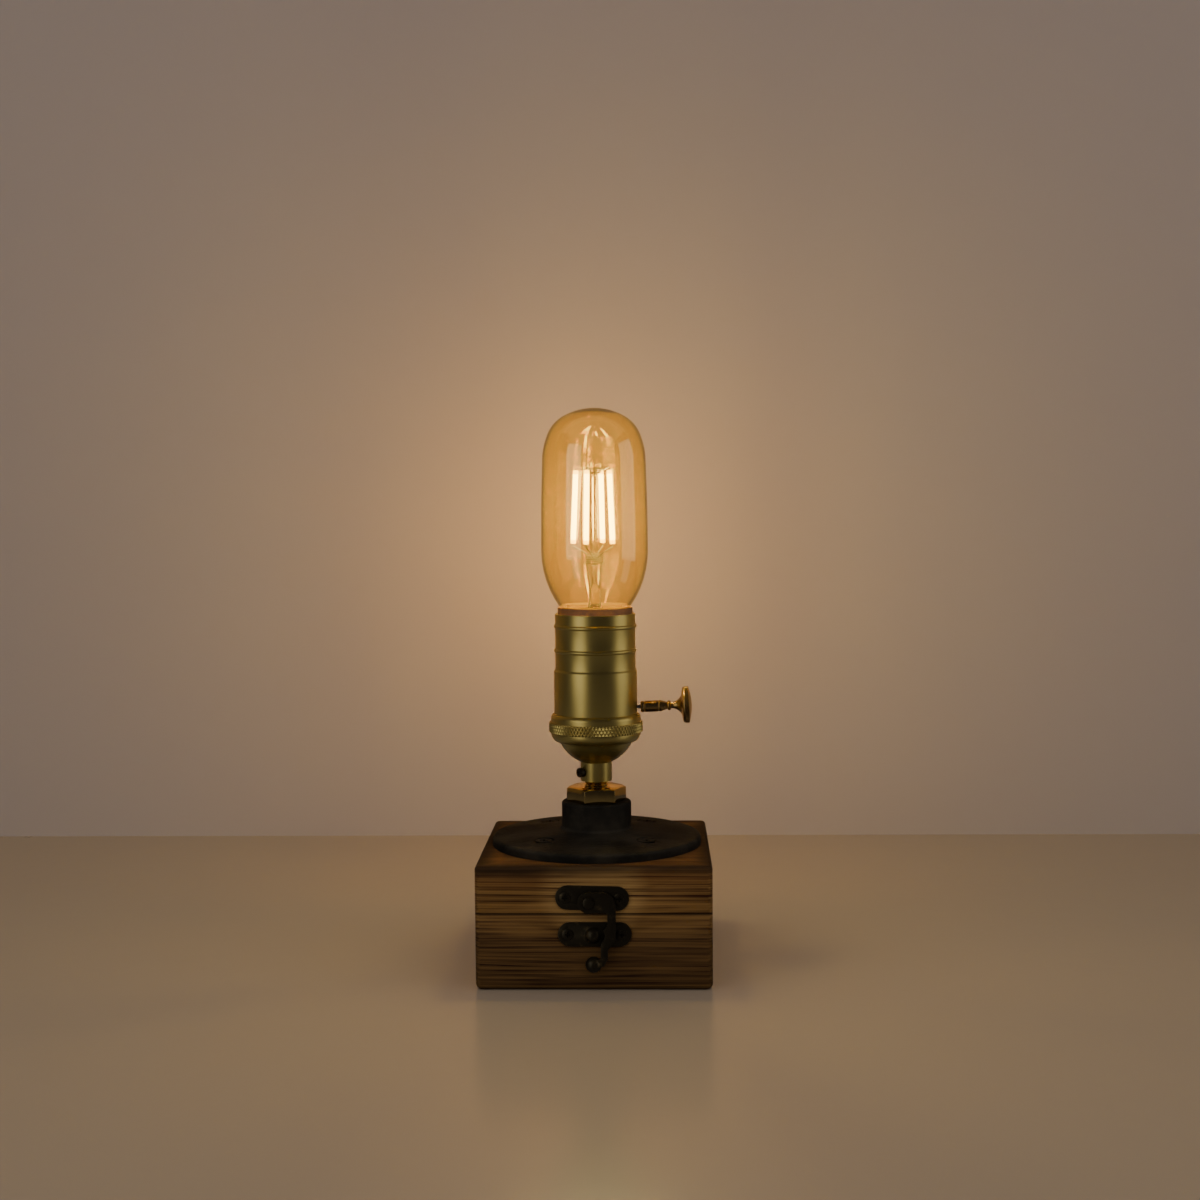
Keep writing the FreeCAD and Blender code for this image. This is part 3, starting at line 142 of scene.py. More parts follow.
def make_lights():
    for name, (heading, z, width, height, radiance) in SOFT_BOXES.items():
        turn = radians(heading)
        place = (SOFT_BOX_DISTANCE * sin(turn), -SOFT_BOX_DISTANCE * cos(turn), z)
        area_light(name, place, (0, 0, z), width, height, radiance)
    ceiling = area_light("ceiling", CEILING_PLACE, (*CEILING_PLACE[:2], 0), CEILING_SIZE,
                         CEILING_SIZE, CEILING_RADIANCE)
    ceiling.visible_glossy = False
    for name, (y, width, height, radiance) in WALL_GLOWS.items():
        glow = area_light(name, (GLOW_X, y, GLOW_HEIGHT), (GLOW_X, WALL_Y, GLOW_HEIGHT), width,
                          height, radiance, GLOW_COLOUR)
        glow.visible_glossy = glow.visible_transmission = False


def sheet(name, corners, material):
    mesh = bpy.data.meshes.new(name)
    mesh.from_pydata([[c * MM for c in corner] for corner in corners], [], [(0, 1, 2, 3)])
    mesh.materials.append(material)
    obj = link(bpy.data.objects.new(name, mesh))
    return obj


# ---- materials
MATERIALS = {}


class Shader:
    """A material's or a world's one shader; add() puts further nodes before it."""

    def __init__(self, owner, name, **inputs):
        owner.use_nodes = True
        self.tree = owner.node_tree
        self.shader = self.tree.nodes[name]
        self.set(**inputs)

    def fill(self, node, inputs):
        for key, value in inputs.items():
            if isinstance(value, bpy.types.NodeSocket):
                self.tree.links.new(value, node.inputs[key])
                continue
            if node.inputs[key].type == "RGBA" and len(value) == 3:
                value = (*value, 1)
            node.inputs[key].default_value = value

    def add(self, kind, inputs=None, **settings):
        node = self.tree.nodes.new("ShaderNode" + kind)
        for key, value in settings.items():
            setattr(node, key, value)
        self.fill(node, inputs or {})
        return node

    def set(self, **inputs):
        """Sets or links the shader's inputs, named with _ for a space."""
        self.fill(self.shader, {key.replace("_", " "): value for key, value in inputs.items()})

    def mix(self, amount, first, second, blend="MIX"):
        node = self.add("Mix", data_type="RGBA", blend_type=blend)
        self.fill(node, {0: amount, 6: first, 7: second})
        return node.outputs[2]


class Finish(Shader):
    """A material with one Principled shader, listed by its name."""

    def __init__(self, name, **inputs):
        self.material = MATERIALS[name] = bpy.data.materials.new(name)
        super().__init__(self.material, "Principled BSDF", **inputs)
        self.place = self.add("TexCoord").outputs["Object"]

    def math(self, operation, first, second=0.0, third=0.0):
        return self.add("Math", {0: first, 1: second, 2: third}, operation=operation).outputs[0]

    def times(self, first, second):
        return self.math("MULTIPLY", first, second)

    def rest(self, value):
        return self.math("SUBTRACT", 1.0, value)

    def between(self, value, low, high, at_low=0.0, at_high=1.0):
        """A smooth step from at_low to at_high as value goes from low to high."""
        return self.add("MapRange", {"Value": value, "From Min": low, "From Max": high,
                                     "To Min": at_low, "To Max": at_high},
                        interpolation_type="SMOOTHSTEP").outputs[0]

    def stretched(self, scale):
        return self.add("Mapping", {"Vector": self.place, "Scale": scale}).outputs[0]

    def noise(self, scale, detail=2.0, roughness=0.5, vector=None):
        return self.add("TexNoise", {"Vector": vector or self.place, "Scale": scale,
                                     "Detail": detail, "Roughness": roughness}).outputs["Fac"]

    def bump(self, height, distance):
        node = self.add("Bump", {"Height": height, "Distance": distance * MM})
        self.set(Normal=node.outputs[0])


def make_world():
    """Even light from all round, dim where metal mirrors it, and a pale ground past the stage."""
    bpy.context.scene.world = bpy.data.worlds.new("studio")
    sky = Shader(bpy.context.scene.world, "Background")
    height = sky.add("SeparateXYZ", {0: sky.add("TexCoord").outputs["Generated"]}).outputs["Z"]
    below = sky.add("MapRange", {"Value": height, "From Max": TABLE_BELOW})
    in_gloss = sky.mix(below.outputs["Result"], AMBIENT_IN_GLOSS, TABLE_IN_GLOSS)
    path = sky.add("LightPath").outputs
    shown = sky.mix(path["Is Glossy Ray"], AMBIENT, in_gloss)
    shown = sky.mix(path["Is Transmission Ray"], shown, BACKGROUND)
    sky.set(Color=sky.mix(path["Is Camera Ray"], shown, BACKGROUND))


def make_stage():
    floor = Finish("floor_paint", Base_Color=FLOOR_COLOUR, Roughness=0.2)
    floor.bump(floor.noise(60, 3), 0.05)
    low, high = -STAGE_HALF, STAGE_HALF
    ground = sheet("floor", [(low, low, 0), (high, low, 0), (high, high, 0), (low, high, 0)],
                   floor.material)
    ground.visible_glossy = False   # the metal mirrors the dim room and not the pale floor
    wall = Finish("wall_paint", Roughness=0.9)
    mirrored = wall.add("LightPath").outputs["Is Glossy Ray"]
    wall.set(Base_Color=wall.mix(mirrored, WALL_COLOUR, WALL_IN_GLOSS))
    wall.bump(wall.noise(90, 3), 0.08)
    # seen from its back the wall lets the view through
    clear = wall.add("BsdfTransparent")
    back = wall.add("NewGeometry").outputs["Backfacing"]
    mix = wall.add("MixShader", {0: back, 1: wall.shader.outputs[0], 2: clear.outputs[0]})
    wall.tree.links.new(mix.outputs[0], wall.tree.nodes["Material Output"].inputs["Surface"])
    sheet("wall", [(low, WALL_Y, 0), (high, WALL_Y, 0), (high, WALL_Y, high), (low, WALL_Y, high)],
          wall.material)


# ---- forms
SEGMENTS = 144
ARC_STEP = radians(6)
SHARP = radians(32)
FLAT = radians(1)
ON_AXIS = 1e-6          # a radius, in millimetres, that counts as none
WELD = 1e-7             # points this near, in metres, become one
CAD_WELD = 1e-6
MOST_EASE = 0.4         # the share of a side that easing a corner may take


def smooth(mesh):
    mesh.polygons.foreach_set("use_smooth", [True] * len(mesh.polygons))
    mesh.set_sharp_from_angle(angle=SHARP)
    return mesh


def form_object(name, form):
    """An object from a bmesh, with its normals outward and smooth up to sharp edges."""
    bmesh.ops.recalc_face_normals(form, faces=form.faces)
    mesh = bpy.data.meshes.new(name)
    form.to_mesh(mesh)
    form.free()
    return link(bpy.data.objects.new(name, smooth(mesh)))


def mesh_object(name, points, faces):
    """An object from points in millimetres; points in the same place become one."""
    form = bmesh.new()
    verts = [form.verts.new(Vector(point) * MM) for point in points]
    for face in faces:
        form.faces.new([verts[n] for n in face])
    bmesh.ops.remove_doubles(form, verts=form.verts, dist=WELD)
    return form_object(name, form)


def path(*corners):
    """The points of an open (radius, height) path. A corner is (r, z), or (r, z, radius, turn)
    where an arc leaves it, turn 1 counter-clockwise."""
    points = []
    for corner, following in zip(corners, corners[1:]):
        points.append(corner[:2])
        if len(corner) == 4:
            points += arc(corner[:2], following[:2], *corner[2:])
    return points + [corners[-1]]


def outline(*corners, ease=0.12):
    """A closed path whose corners sharper than SHARP are eased off."""
    return eased_corners(path(*corners, corners[0])[:-1], ease)


def arc(start, end, radius, turn):
    """The points between start and end on the short arc of that radius."""
    chord = (end[0] - start[0], end[1] - start[1])
    length = hypot(*chord)
    height = sqrt(max(radius * radius - length * length / 4, 0))
    centre = ((start[0] + end[0]) / 2 - turn * chord[1] / length * height,
              (start[1] + end[1]) / 2 + turn * chord[0] / length * height)
    first = atan2(start[1] - centre[1], start[0] - centre[0])
    last = atan2(end[1] - centre[1], end[0] - centre[0])
    sweep = ((last - first) * turn) % (2 * pi) * turn
    steps = max(2, int(abs(sweep) / ARC_STEP) + 1)
    return [(centre[0] + radius * cos(first + sweep * n / steps),
             centre[1] + radius * sin(first + sweep * n / steps)) for n in range(1, steps)]


def eased_corners(points, ease):
    """Cuts each sharp corner of a closed outline back by ease with a small curve."""
    result = []
    for number, point in enumerate(points):
        before, after = points[number - 1], points[(number + 1) % len(points)]
        legs = [(other[0] - point[0], other[1] - point[1]) for other in (before, after)]
        sizes = [hypot(*leg) for leg in legs]
        if min(point[0], *sizes) < ON_AXIS:
            result.append(point)
            continue
        straight = -(legs[0][0] * legs[1][0] + legs[0][1] * legs[1][1]) / sizes[0] / sizes[1]
        if acos(max(-1, min(1, straight))) < SHARP:
            result.append(point)
            continue
        cut = min(ease, min(sizes) * MOST_EASE)
        a, b = [(point[0] + leg[0] / size * cut, point[1] + leg[1] / size * cut)
                for leg, size in zip(legs, sizes)]
        middle = tuple(0.25 * a[i] + 0.5 * point[i] + 0.25 * b[i] for i in (0, 1))
        result += [a, middle, b]
    return result


def lathe(name, points, segments=SEGMENTS, relief=None):
    """Turns a closed outline about Z. relief(radius, height, share of a turn) may change a radius."""
    spun = []
    for step in range(segments):
        share = step / segments
        for radius, height in points:
            spread = relief(radius, height, share) if relief else radius
            spun.append((spread * cos(2 * pi * share), spread * sin(2 * pi * share), height))
    count = len(points)
    faces = []
    for step in range(segments):
        following = (step + 1) % segments
        for n in range(count):
            m = (n + 1) % count
            corners = [(step, n), (following, n), (following, m), (step, m)]
            for end in (n, m):
                if points[end][0] < ON_AXIS:
                    corners.remove((following, end))
            if len(corners) > 2:
                faces.append([a * count + b for a, b in corners])
    return mesh_object(name, spun, faces)


def bar(name, radius, low, high, segments=SEGMENTS, bore=0, ease=0.12):
    """A plain turned bar, or a tube where it has a bore."""
    return lathe(name, outline((bore, low), (radius, low), (radius, high), (bore, high), ease=ease),
                 segments)


def chord_bend(drop, run):
    """The radius of an arc that leaves a straight line and drops by drop over run."""
    return (drop ** 2 + run ** 2) / 2 / drop


def turn_to(direction):
    """The rotation that takes +Z to a direction."""
    return Vector(direction).to_track_quat("Z", "Y").to_matrix().to_4x4()


def placed(obj, place, direction):
    """Bakes a place in millimetres and a direction for the object's own Z into its mesh."""
    obj.data.transform(Matrix.Translation(Vector(place) * MM) @ turn_to(direction))
    return obj


def joined(name, *objects):
    """One object from several, at the origin."""
    form = bmesh.new()
    for obj in objects:
        form.from_mesh(obj.data)
        bpy.data.objects.remove(obj)
    return form_object(name, form)


def copies(name, model, places, direction):
    """One object with a copy of the model at each place, its Z towards the direction."""
    form = bmesh.new()
    for place in places:
        mesh = model.data.copy()
        mesh.transform(Matrix.Translation(Vector(place) * MM) @ turn_to(direction))
        form.from_mesh(mesh)
    bpy.data.objects.remove(model)
    return form_object(name, form)


def carved(obj, cutter):
    """The object with the cutter taken out of it; the cutter is used up."""
    cut = obj.modifiers.new("carve", "BOOLEAN")
    cut.object, cut.operation, cut.solver = cutter, "DIFFERENCE", "EXACT"
    bpy.context.view_layer.update()
    mesh = bpy.data.meshes.new_from_object(obj.evaluated_get(bpy.context.evaluated_depsgraph_get()))
    obj.modifiers.clear()
    obj.data = smooth(mesh)
    bpy.data.objects.remove(cutter)
    return obj


def cad_form(node):
    """A CAD node's mesh as a bmesh, with its faces joined up."""
    form = bmesh.new()
    form.from_mesh(frame["nodes"][node].data)
    bmesh.ops.remove_doubles(form, verts=form.verts, dist=CAD_WELD)
    return form


def solids(node):
    """The boxes, in millimetres, of the separate solids in a CAD node."""
    form = cad_form(node)
    left, boxes = set(form.verts), []
    while left:
        reached, waiting = [], [left.pop()]
        while waiting:
            vert = waiting.pop()
            reached.append(vert.co / MM)
            near = {edge.other_vert(vert) for edge in vert.link_edges} & left
            left -= near
            waiting += near
        boxes.append([Vector(map(pick, zip(*reached))) for pick in (min, max)])
    form.free()
    return sorted(boxes, key=lambda box: tuple(box[0]))


# ---- small parts
SCREW_SEGMENTS = 40
CROSS_HALF = 0.176      # shares of the head's radius
CROSS_REACH = 0.62
CROSS_TAPER = 0.55
HEAD_EDGE = 0.4
COUNTERSUNK_RIM = 0.25


def cross_cutter(radius, top, depth):
    """A Phillips recess: a cross that narrows towards its bottom."""
    arm, half = radius * CROSS_REACH, radius * CROSS_HALF
    rim, quarter = [], [(half, half), (half, arm), (-half, arm)]
    for _ in range(4):
        rim += quarter
        quarter = [(-y, x) for x, y in quarter]
    points = [(x, y, top + depth) for x, y in rim]
    points += [(x * CROSS_TAPER, y * CROSS_TAPER, top - depth) for x, y in rim]
    count = len(rim)
    sides = [(n, (n + 1) % count, count + (n + 1) % count, count + n) for n in range(count)]
    return mesh_object("cross", points, [range(count), range(count, 2 * count), *sides])


def domed_head(name, radius, rise, shank, length, edge, ease):
    """A raised head on z 0 with its shank below; edge is the share of its rise under its dome."""
    edge *= rise
    return lathe(name, outline((0, -length), (shank, -length), (shank, 0), (radius, 0),
                               (radius, edge, chord_bend(rise - edge, radius), 1), (0, rise),
                               ease=ease), SCREW_SEGMENTS)


def domed_screw(radius, rise, shank, length, recess):
    """A raised Phillips head."""
    head = domed_head("screw", radius, rise, shank, length, HEAD_EDGE, 0.08)
    return carved(head, cross_cutter(radius, rise, recess))


def flat_screw(radius, depth, shank, length, recess):
    """A countersunk Phillips head whose top is at z 0."""
    head = lathe("screw", outline((0, -length), (shank, -length), (shank, -depth),
                                  (radius, -COUNTERSUNK_RIM), (radius, 0), (0, 0), ease=0.1),
                 SCREW_SEGMENTS)
    return carved(head, cross_cutter(radius, 0, recess))


# ---- finishes
def srgb(red, green, blue):
    """A colour from 0-255 screen values."""
    return tuple((c / 255 / 12.92) if c / 255 < 0.04045 else ((c / 255 + 0.055) / 1.055) ** 2.4
                 for c in (red, green, blue))


# the char colour is also painted as shade, in a thin line along the box's corners and foot
PALE_PINE, LATE_PINE, CHAR_AND_SHADE_COLOUR = srgb(118, 88, 48), srgb(48, 25, 11), srgb(24, 15, 8)
SINGED, BARE_PINE = srgb(78, 44, 18), srgb(134, 106, 64)
# how much each mark of the grain darkens the wood
GRAIN_SHARES = {"streak": 0.4, "late": 0.6, "line": 0.4, "fibre": 0.18}
LINE_SPACING = 0.37     # of the fine lines, as a share of the rings'
CORNER_REACH = 4.0
# painted shade: the tone that darkens the faces which look up
UPWARD_PAINTED_SHADE = (0.52, 0.46, 0.42)
FLAME_SWAY = 12.0
# the last of these is how wide the dark line of char and painted shade runs along the corners and foot
TOP_BURN, WALL_BURN, CORNER_CHAR_AND_SHADE = 8.5, 1.5, 1.3
SINGED_BAND = 5.0
PATCH_PLACE, PATCH_REACH = (0, 40), (24, 21)
INSIDE_FROM, INSIDE_TO = 3, 7       # depths behind a wall's face
DARK_FOOT, PALE_HEAD = 17, 31       # the heights between which a wall grows darker towards its foot


def pine_rings(wood, across, height, pith, spacing, along):
    """Growth rings about a pith that runs along the grain, from 0 in early wood to 1 in late."""
    across = wood.math("SUBTRACT", across, pith[0])
    height = wood.math("SUBTRACT", height, pith[1])
    reach = wood.math("SQRT", wood.math("MULTIPLY_ADD", across, across,
                                        wood.times(height, height)))
    sway = wood.times(wood.noise(70, 2, vector=along(0.1)), 3.0)
    drift = wood.times(wood.noise(150, 1, vector=along(0.01)), 2.0)
    shift = wood.math("ADD", sway, drift)
    rings = wood.math("DIVIDE", wood.math("ADD", reach, shift), spacing)
    phase = wood.math("FRACT", rings)
    each = wood.add("TexWhiteNoise", {"W": wood.math("FLOOR", rings)}, noise_dimensions="1D")
    late = wood.times(wood.between(phase, 0.2, 0.65), wood.between(phase, 1.0, 0.84))
    faded = wood.between(wood.noise(90, 2, vector=along(0.3)), 0.38, 0.62, 0.4, 1.0)
    strength = wood.times(faded, wood.between(each.outputs["Value"], 0, 1, 0.3, 1.0))
    return wood.times(late, strength)


def grain_marks(wood, across, z, pith, spacing, along):
    """The marks of the grain, and how dark they are together."""
    marks = {"late": pine_rings(wood, across, z, pith, spacing, along),
             "line": pine_rings(wood, across, z, pith, spacing * LINE_SPACING, along),
             "streak": wood.between(wood.noise(520, 2, 0.6, along(0.025)), 0.38, 0.66),
             "fibre": wood.between(wood.noise(1500, 3, 0.6, along(0.02)), 0.32, 0.7)}
    dark = 0.0
    for kind, share in GRAIN_SHARES.items():
        dark = wood.math("MULTIPLY_ADD", marks[kind], share, dark)
    return marks, dark


def flame_and_shade_marks(wood, wall_gap, corner_gap, z, along):
    """Where the wood is singed, near the top, and charred, at its edges, corners and seam; the thin
    dark line along its corners and foot is char with painted shade.
    """
    flame = wood.math("MULTIPLY_ADD", wood.noise(55, 3, 0.6, along(0.3)), FLAME_SWAY, -FLAME_SWAY / 2)
    drop = wood.times(wood.math("SUBTRACT", BOX_TOP, z), WALL_BURN)
    top_edge = wood.math("ADD", wood.math("MAXIMUM", drop, wall_gap), flame)
    singed = wood.between(top_edge, TOP_BURN + SINGED_BAND, TOP_BURN, 0, 0.3)
    corner = wood.math("MULTIPLY_ADD", flame, 0.08, wood.math("MINIMUM", corner_gap, z))
    seam = wood.math("ABSOLUTE", wood.math("SUBTRACT", z, SEAM))
    char_and_shade = wood.between(top_edge, TOP_BURN, 1.0, 0, 0.85)
    # along the corners and the foot the dark is char and painted shade; at the seam it is the dark
    # joint
    for mark in (wood.between(corner, CORNER_CHAR_AND_SHADE, 0.2, 0, 0.35), wood.between(seam, 0.8, 0.3, 0, 0.6)):
        char_and_shade = wood.math("MAXIMUM", char_and_shade, mark)
    return singed, char_and_shade


def latch_patch(wood, x, y, z):
    """The paler patch round the latch, on the front alone."""
    out = [wood.math("DIVIDE", wood.math("SUBTRACT", place, middle), reach)
           for place, middle, reach in zip((x, z), PATCH_PLACE, PATCH_REACH)]
    spread = wood.math("MULTIPLY_ADD", out[0], out[0], wood.times(out[1], out[1]))
    front = wood.between(y, -BOX_HALF[1] + 1, -BOX_HALF[1] + 0.3)
    return wood.times(wood.between(spread, 1.0, 0.3, 0, 0.9), front)


def torched_pine(name, axis, pith, spacing, foot_darkening=0.0):
    """Scorched pine, grained along an axis, with painted shade on the faces that look up. Its walls
    grow darker towards their foot.
    """
    wood = Finish(name, Roughness=0.8, Specular_IOR_Level=0.1)
    split = wood.add("SeparateXYZ", {0: wood.place}).outputs
    x, y, z = (wood.math("DIVIDE", split[n], MM) for n in range(3))

    def along(share):
        return wood.stretched((share, 1, 1) if axis == "X" else (1, share, 1))

    # the lines run straight on over a rounded corner, so the depth stops short of it
    depth, half = (y, BOX_HALF[1]) if axis == "X" else (x, BOX_HALF[0])
    across = wood.math("MINIMUM", wood.math("MAXIMUM", depth, CORNER_REACH - half),
                       half - CORNER_REACH)
    marks, dark = grain_marks(wood, across, z, pith, spacing, along)
    gaps = [wood.math("SUBTRACT", half, wood.math("ABSOLUTE", place))
            for place, half in zip((x, y), BOX_HALF)]
    wall_gap, corner_gap = (wood.math(kind, *gaps) for kind in ("MINIMUM", "MAXIMUM"))
    singed, char_and_shade = flame_and_shade_marks(wood, wall_gap, corner_gap, z, along)
    upward = wood.add("SeparateXYZ", {0: wood.add("TexCoord").outputs["Normal"]}).outputs[2]
    top = wood.between(upward, 0.6, 0.9)
    inside = wood.times(wood.between(wall_gap, INSIDE_FROM, INSIDE_TO, 0, 0.8),
                       wood.rest(top))
    bare = wood.math("MAXIMUM", latch_patch(wood, x, y, z), inside)
    # the walls grow darker towards their foot, by the share given for the finish
    foot_dark = wood.times(wood.between(z, PALE_HEAD, DARK_FOOT, 0.25, 1.0), foot_darkening)
    tone = wood.mix(dark, PALE_PINE, LATE_PINE)
    # painted shade: faces that look up are darkened
    tone = wood.mix(top, tone, UPWARD_PAINTED_SHADE, "MULTIPLY")
    tone = wood.mix(singed, tone, SINGED)
    tone = wood.mix(wood.times(foot_dark, wood.rest(bare)), tone, LATE_PINE, "MULTIPLY")
    tone = wood.mix(wood.times(bare, wood.rest(dark)), tone, BARE_PINE)
    wood.set(Base_Color=wood.mix(char_and_shade, tone, CHAR_AND_SHADE_COLOUR))
    relief = wood.times(marks["fibre"], 0.6)
    wood.bump(wood.math("MULTIPLY_ADD", marks["late"], 0.4, relief), 0.05)


def metal(name, colour, roughness, shade=0.75, grain=400, relief=0.02, stretch=None, turned=0.0):
    """Metal with uneven colour and a fine relief. stretch draws the relief out into brush marks,
    and turned spreads the glints along the axis."""
    finish = Finish(name, Metallic=1.0, Roughness=roughness)
    if turned:
        tangent = finish.add("Tangent", direction_type="RADIAL", axis="Z")
        finish.set(Anisotropic=turned, Anisotropic_Rotation=0.25, Tangent=tangent.outputs[0])
    vector = finish.stretched(stretch) if stretch else None
    marks = finish.noise(grain, 3, 0.6, vector)
    wear = finish.noise(55, 4, 0.6)
    darker = tuple(c * shade for c in colour)
    tone = finish.mix(finish.between(wear, 0.35, 0.65), darker, colour)
    finish.set(Base_Color=finish.mix(finish.times(marks, 0.25), tone, darker))
    finish.bump(marks, relief)


def plain(name, colour, roughness, grain=500, relief=0.03, shade=0.7, **inputs):
    """A non-metal: two close tones in a fine grain, and that grain as relief."""
    finish = Finish(name, Roughness=roughness, **inputs)
    marks = finish.noise(grain, 4, 0.6)
    darker = tuple(c * shade for c in colour)
    finish.set(Base_Color=finish.mix(finish.between(marks, 0.3, 0.7), darker, colour))
    finish.bump(marks, relief)


def cast_iron(name):
    """Dark sand-cast iron: grainy, with a few shallow pits."""
    iron = Finish(name, Roughness=0.72, Specular_IOR_Level=0.1)
    sand = iron.noise(900, 4, 0.7)
    pits = iron.add("TexVoronoi", {"Vector": iron.place, "Scale": 420.0}).outputs["Distance"]
    patches = iron.between(iron.noise(60, 4, 0.6), 0.35, 0.7)
    iron.set(Base_Color=iron.mix(patches, srgb(20, 18, 14), srgb(39, 34, 26)))
    iron.bump(iron.math("MULTIPLY_ADD", iron.between(pits, 0.1, 0.45), 0.5, sand), 0.12)


def antique_bronze(name):
    """Nearly black bronze, rubbed back to a warmer metal in places."""
    bronze = Finish(name, Metallic=0.9, Roughness=0.4)
    rub = bronze.between(bronze.noise(170, 5, 0.65), 0.54, 0.8)
    bronze.set(Base_Color=bronze.mix(rub, srgb(60, 53, 39), srgb(114, 95, 63)))
    bronze.bump(bronze.noise(700, 3, 0.6), 0.03)


def glass(name, colour, dust=0.0):
    """Clear glass; the share of dust on it glows in the filaments' light."""
    finish = Finish(name, Base_Color=colour, Roughness=0.0, IOR=GLASS_IOR,
                    Transmission_Weight=1.0 - dust)
    finish.bump(finish.noise(35, 2), 0.004)


def lit(name, colour, emission, strength):
    """A lit phosphor coat."""
    finish = Finish(name, Roughness=0.6, Emission_Color=emission, Emission_Strength=strength)
    grain = finish.noise(2500, 3)
    finish.set(Base_Color=finish.mix(grain, colour, tuple(c * 0.8 for c in colour)))
    finish.bump(grain, 0.02)


AROUND_Z = (0.02, 0.02, 1)
ALONG_X = (1, 0.02, 0.02)
BOX_HALF = (Place("lid_board").x1, -Place("lid_board").y0)
BOX_TOP = Place("lid_board").z1
SEAM = Place("tray_front_board").z1
GLASS_IOR = 1.8
AMBER = (1.0, 0.78, 0.32)
FILAMENT_GLOW = 560.0
TIP_GLOW = 10.0

torched_pine("torched_pine", "X", (30, -38), 1.75)
plain("cover_board", srgb(112, 84, 56), 0.8, grain=900, relief=0.05)
plain("black_rubber", srgb(34, 33, 32), 0.6)
plain("bakelite", srgb(40, 30, 25), 0.3, relief=0.01)
plain("wire_insulation", srgb(196, 188, 170), 0.45, relief=0.01, shade=0.9)
cast_iron("cast_iron")
metal("black_steel", srgb(58, 50, 40), 0.42, grain=700)
metal("polished_brass", srgb(226, 190, 112), 0.14, grain=300, relief=0.004)
metal("satin_brass", srgb(214, 188, 106), 0.37, shade=0.92, grain=7000,
      stretch=AROUND_Z, relief=0.006, turned=0.3)
metal("aged_brass", srgb(196, 158, 94), 0.27, shade=0.65, grain=3000,
      stretch=ALONG_X, relief=0.008)
metal("steel", srgb(176, 174, 170), 0.3)
metal("contact_brass", srgb(206, 178, 112), 0.25)
plain("fibre_liner", srgb(116, 74, 32), 0.6, grain=800)
glass("amber_glass", AMBER)
glass("clear_glass", (1.0, 0.95, 0.82))
lit("lit_filament", srgb(255, 214, 120), (1.0, 0.77, 0.28), FILAMENT_GLOW)
antique_bronze("antique_bronze")
torched_pine("side_pine", "Y", (18, -30), 1.3, 0.5)
torched_pine("tray_pine", "X", (42, -52), 1.0, 0.52)
glass("amber_inside", AMBER, 0.026)
glass("amber_foot", (1.0, 0.68, 0.1), 0.48)
lit("filament_tip", srgb(255, 205, 60), (1.0, 0.62, 0.08), TIP_GLOW)


def dress(obj, slot, node, finish=None):
    """obj, in its slot's finish or another, stands for a CAD node and rides on its body."""
    if not obj.data.materials:
        obj.data.materials.append(MATERIALS[finish or slot])
    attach(obj, frame["nodes"][node]["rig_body"])
    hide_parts(node)


def dress_eased(name, node, width, slot, finish=None, steps=2):
    """A copy of a CAD node whose edges sharper than SHARP are rounded off, dressed."""
    form = cad_form(node)
    bmesh.ops.dissolve_limit(form, angle_limit=FLAT, verts=form.verts, edges=form.edges)
    sharp = [edge for edge in form.edges
             if len(edge.link_faces) == 2 and edge.calc_face_angle() > SHARP]
    bmesh.ops.bevel(form, geom=sharp, offset=width * MM, segments=steps, profile=0.5,
                    affect="EDGES", clamp_overlap=True)
    dress(form_object(name, form), slot, node, finish)


def dress_screws(name, node, slot, direction, screw, sizes, under=0.0, finish=None):
    """A screw dressed at each solid of a CAD node, with its z 0 that much under the solid's end."""
    boxes = solids(node)
    out = Vector(direction)
    places = [(low + high) / 2 + out * (abs(out.dot(high - low)) / 2 - under) for low, high in boxes]
    low, high = boxes[0]
    model = screw((high.x - low.x) / 2, *sizes)
    dress(copies(name, model, places, direction), slot, node, finish)


def paint(node, slot):
    """A CAD node that is shown as it is, in a slot's finish."""
    obj = frame["nodes"][node]
    obj.data.materials.clear()
    obj.data.materials.append(MATERIALS[slot])


# ---- box
# each kind of screw: its head's height or depth, its shank's radius, its length and its recess
COVER_SCREW = (1.5, 1.1, 7.4, 0.6)
FLANGE_SCREW = (2.2, 1.9, Place("flange_screws").z1 - Place("flange_screws").z0, 1.1)
PLATE_SCREW = (0.6, 1.1, 6.8, 0.8)
HINGE_SCREW = (0.6, 0.9, 6.6, 0.45)
GLAND_BORE, GLAND_BARREL = 3.1, 4.2


def make_box():
    pines = {"front": "tray_pine", "back": "tray_pine", "left": "side_pine", "right": "side_pine"}
    for side, pine in pines.items():
        dress_eased(f"{side}_board", f"tray_{side}_board", 0.4, "torched_pine", pine)
    dress_eased("bottom_board", "tray_bottom_board", 0.2, "torched_pine", "tray_pine")
    dress_eased("lid", "lid_board", 0.4, "torched_pine")
    dress_eased("cover", "recess_cover", 0.15, "cover_board")
    dress_screws("cover_screws", "recess_cover_screws", "steel", (0, 0, -1), flat_screw, COVER_SCREW)


def make_gland():
    gland = Place("cable_gland")
    lip, chamfer = (gland.x1 - gland.x0) / 2, (1.2, 1.0)
    lip_at, length = Place("lid_board").y1 - gland.y0, gland.y1 - gland.y0
    form = lathe("gland", outline(
        (GLAND_BORE, 0), (GLAND_BARREL, 0), (GLAND_BARREL, lip_at), (lip, lip_at),
        (lip, length - chamfer[1]), (lip - chamfer[0], length), (GLAND_BORE, length), ease=0.3), 64)
    dress(placed(form, (gland.x, gland.y0, gland.z), (0, 1, 0)), "black_rubber", "cable_gland")


# ---- flange and fittings
THREAD_PITCH = 1.0
THREAD_DEPTH = 0.35
NIPPLE_BORE = 3.6


def triangle(share):
    """0 to 1 and back as share goes round once."""
    return 1 - abs(2 * (share % 1) - 1)


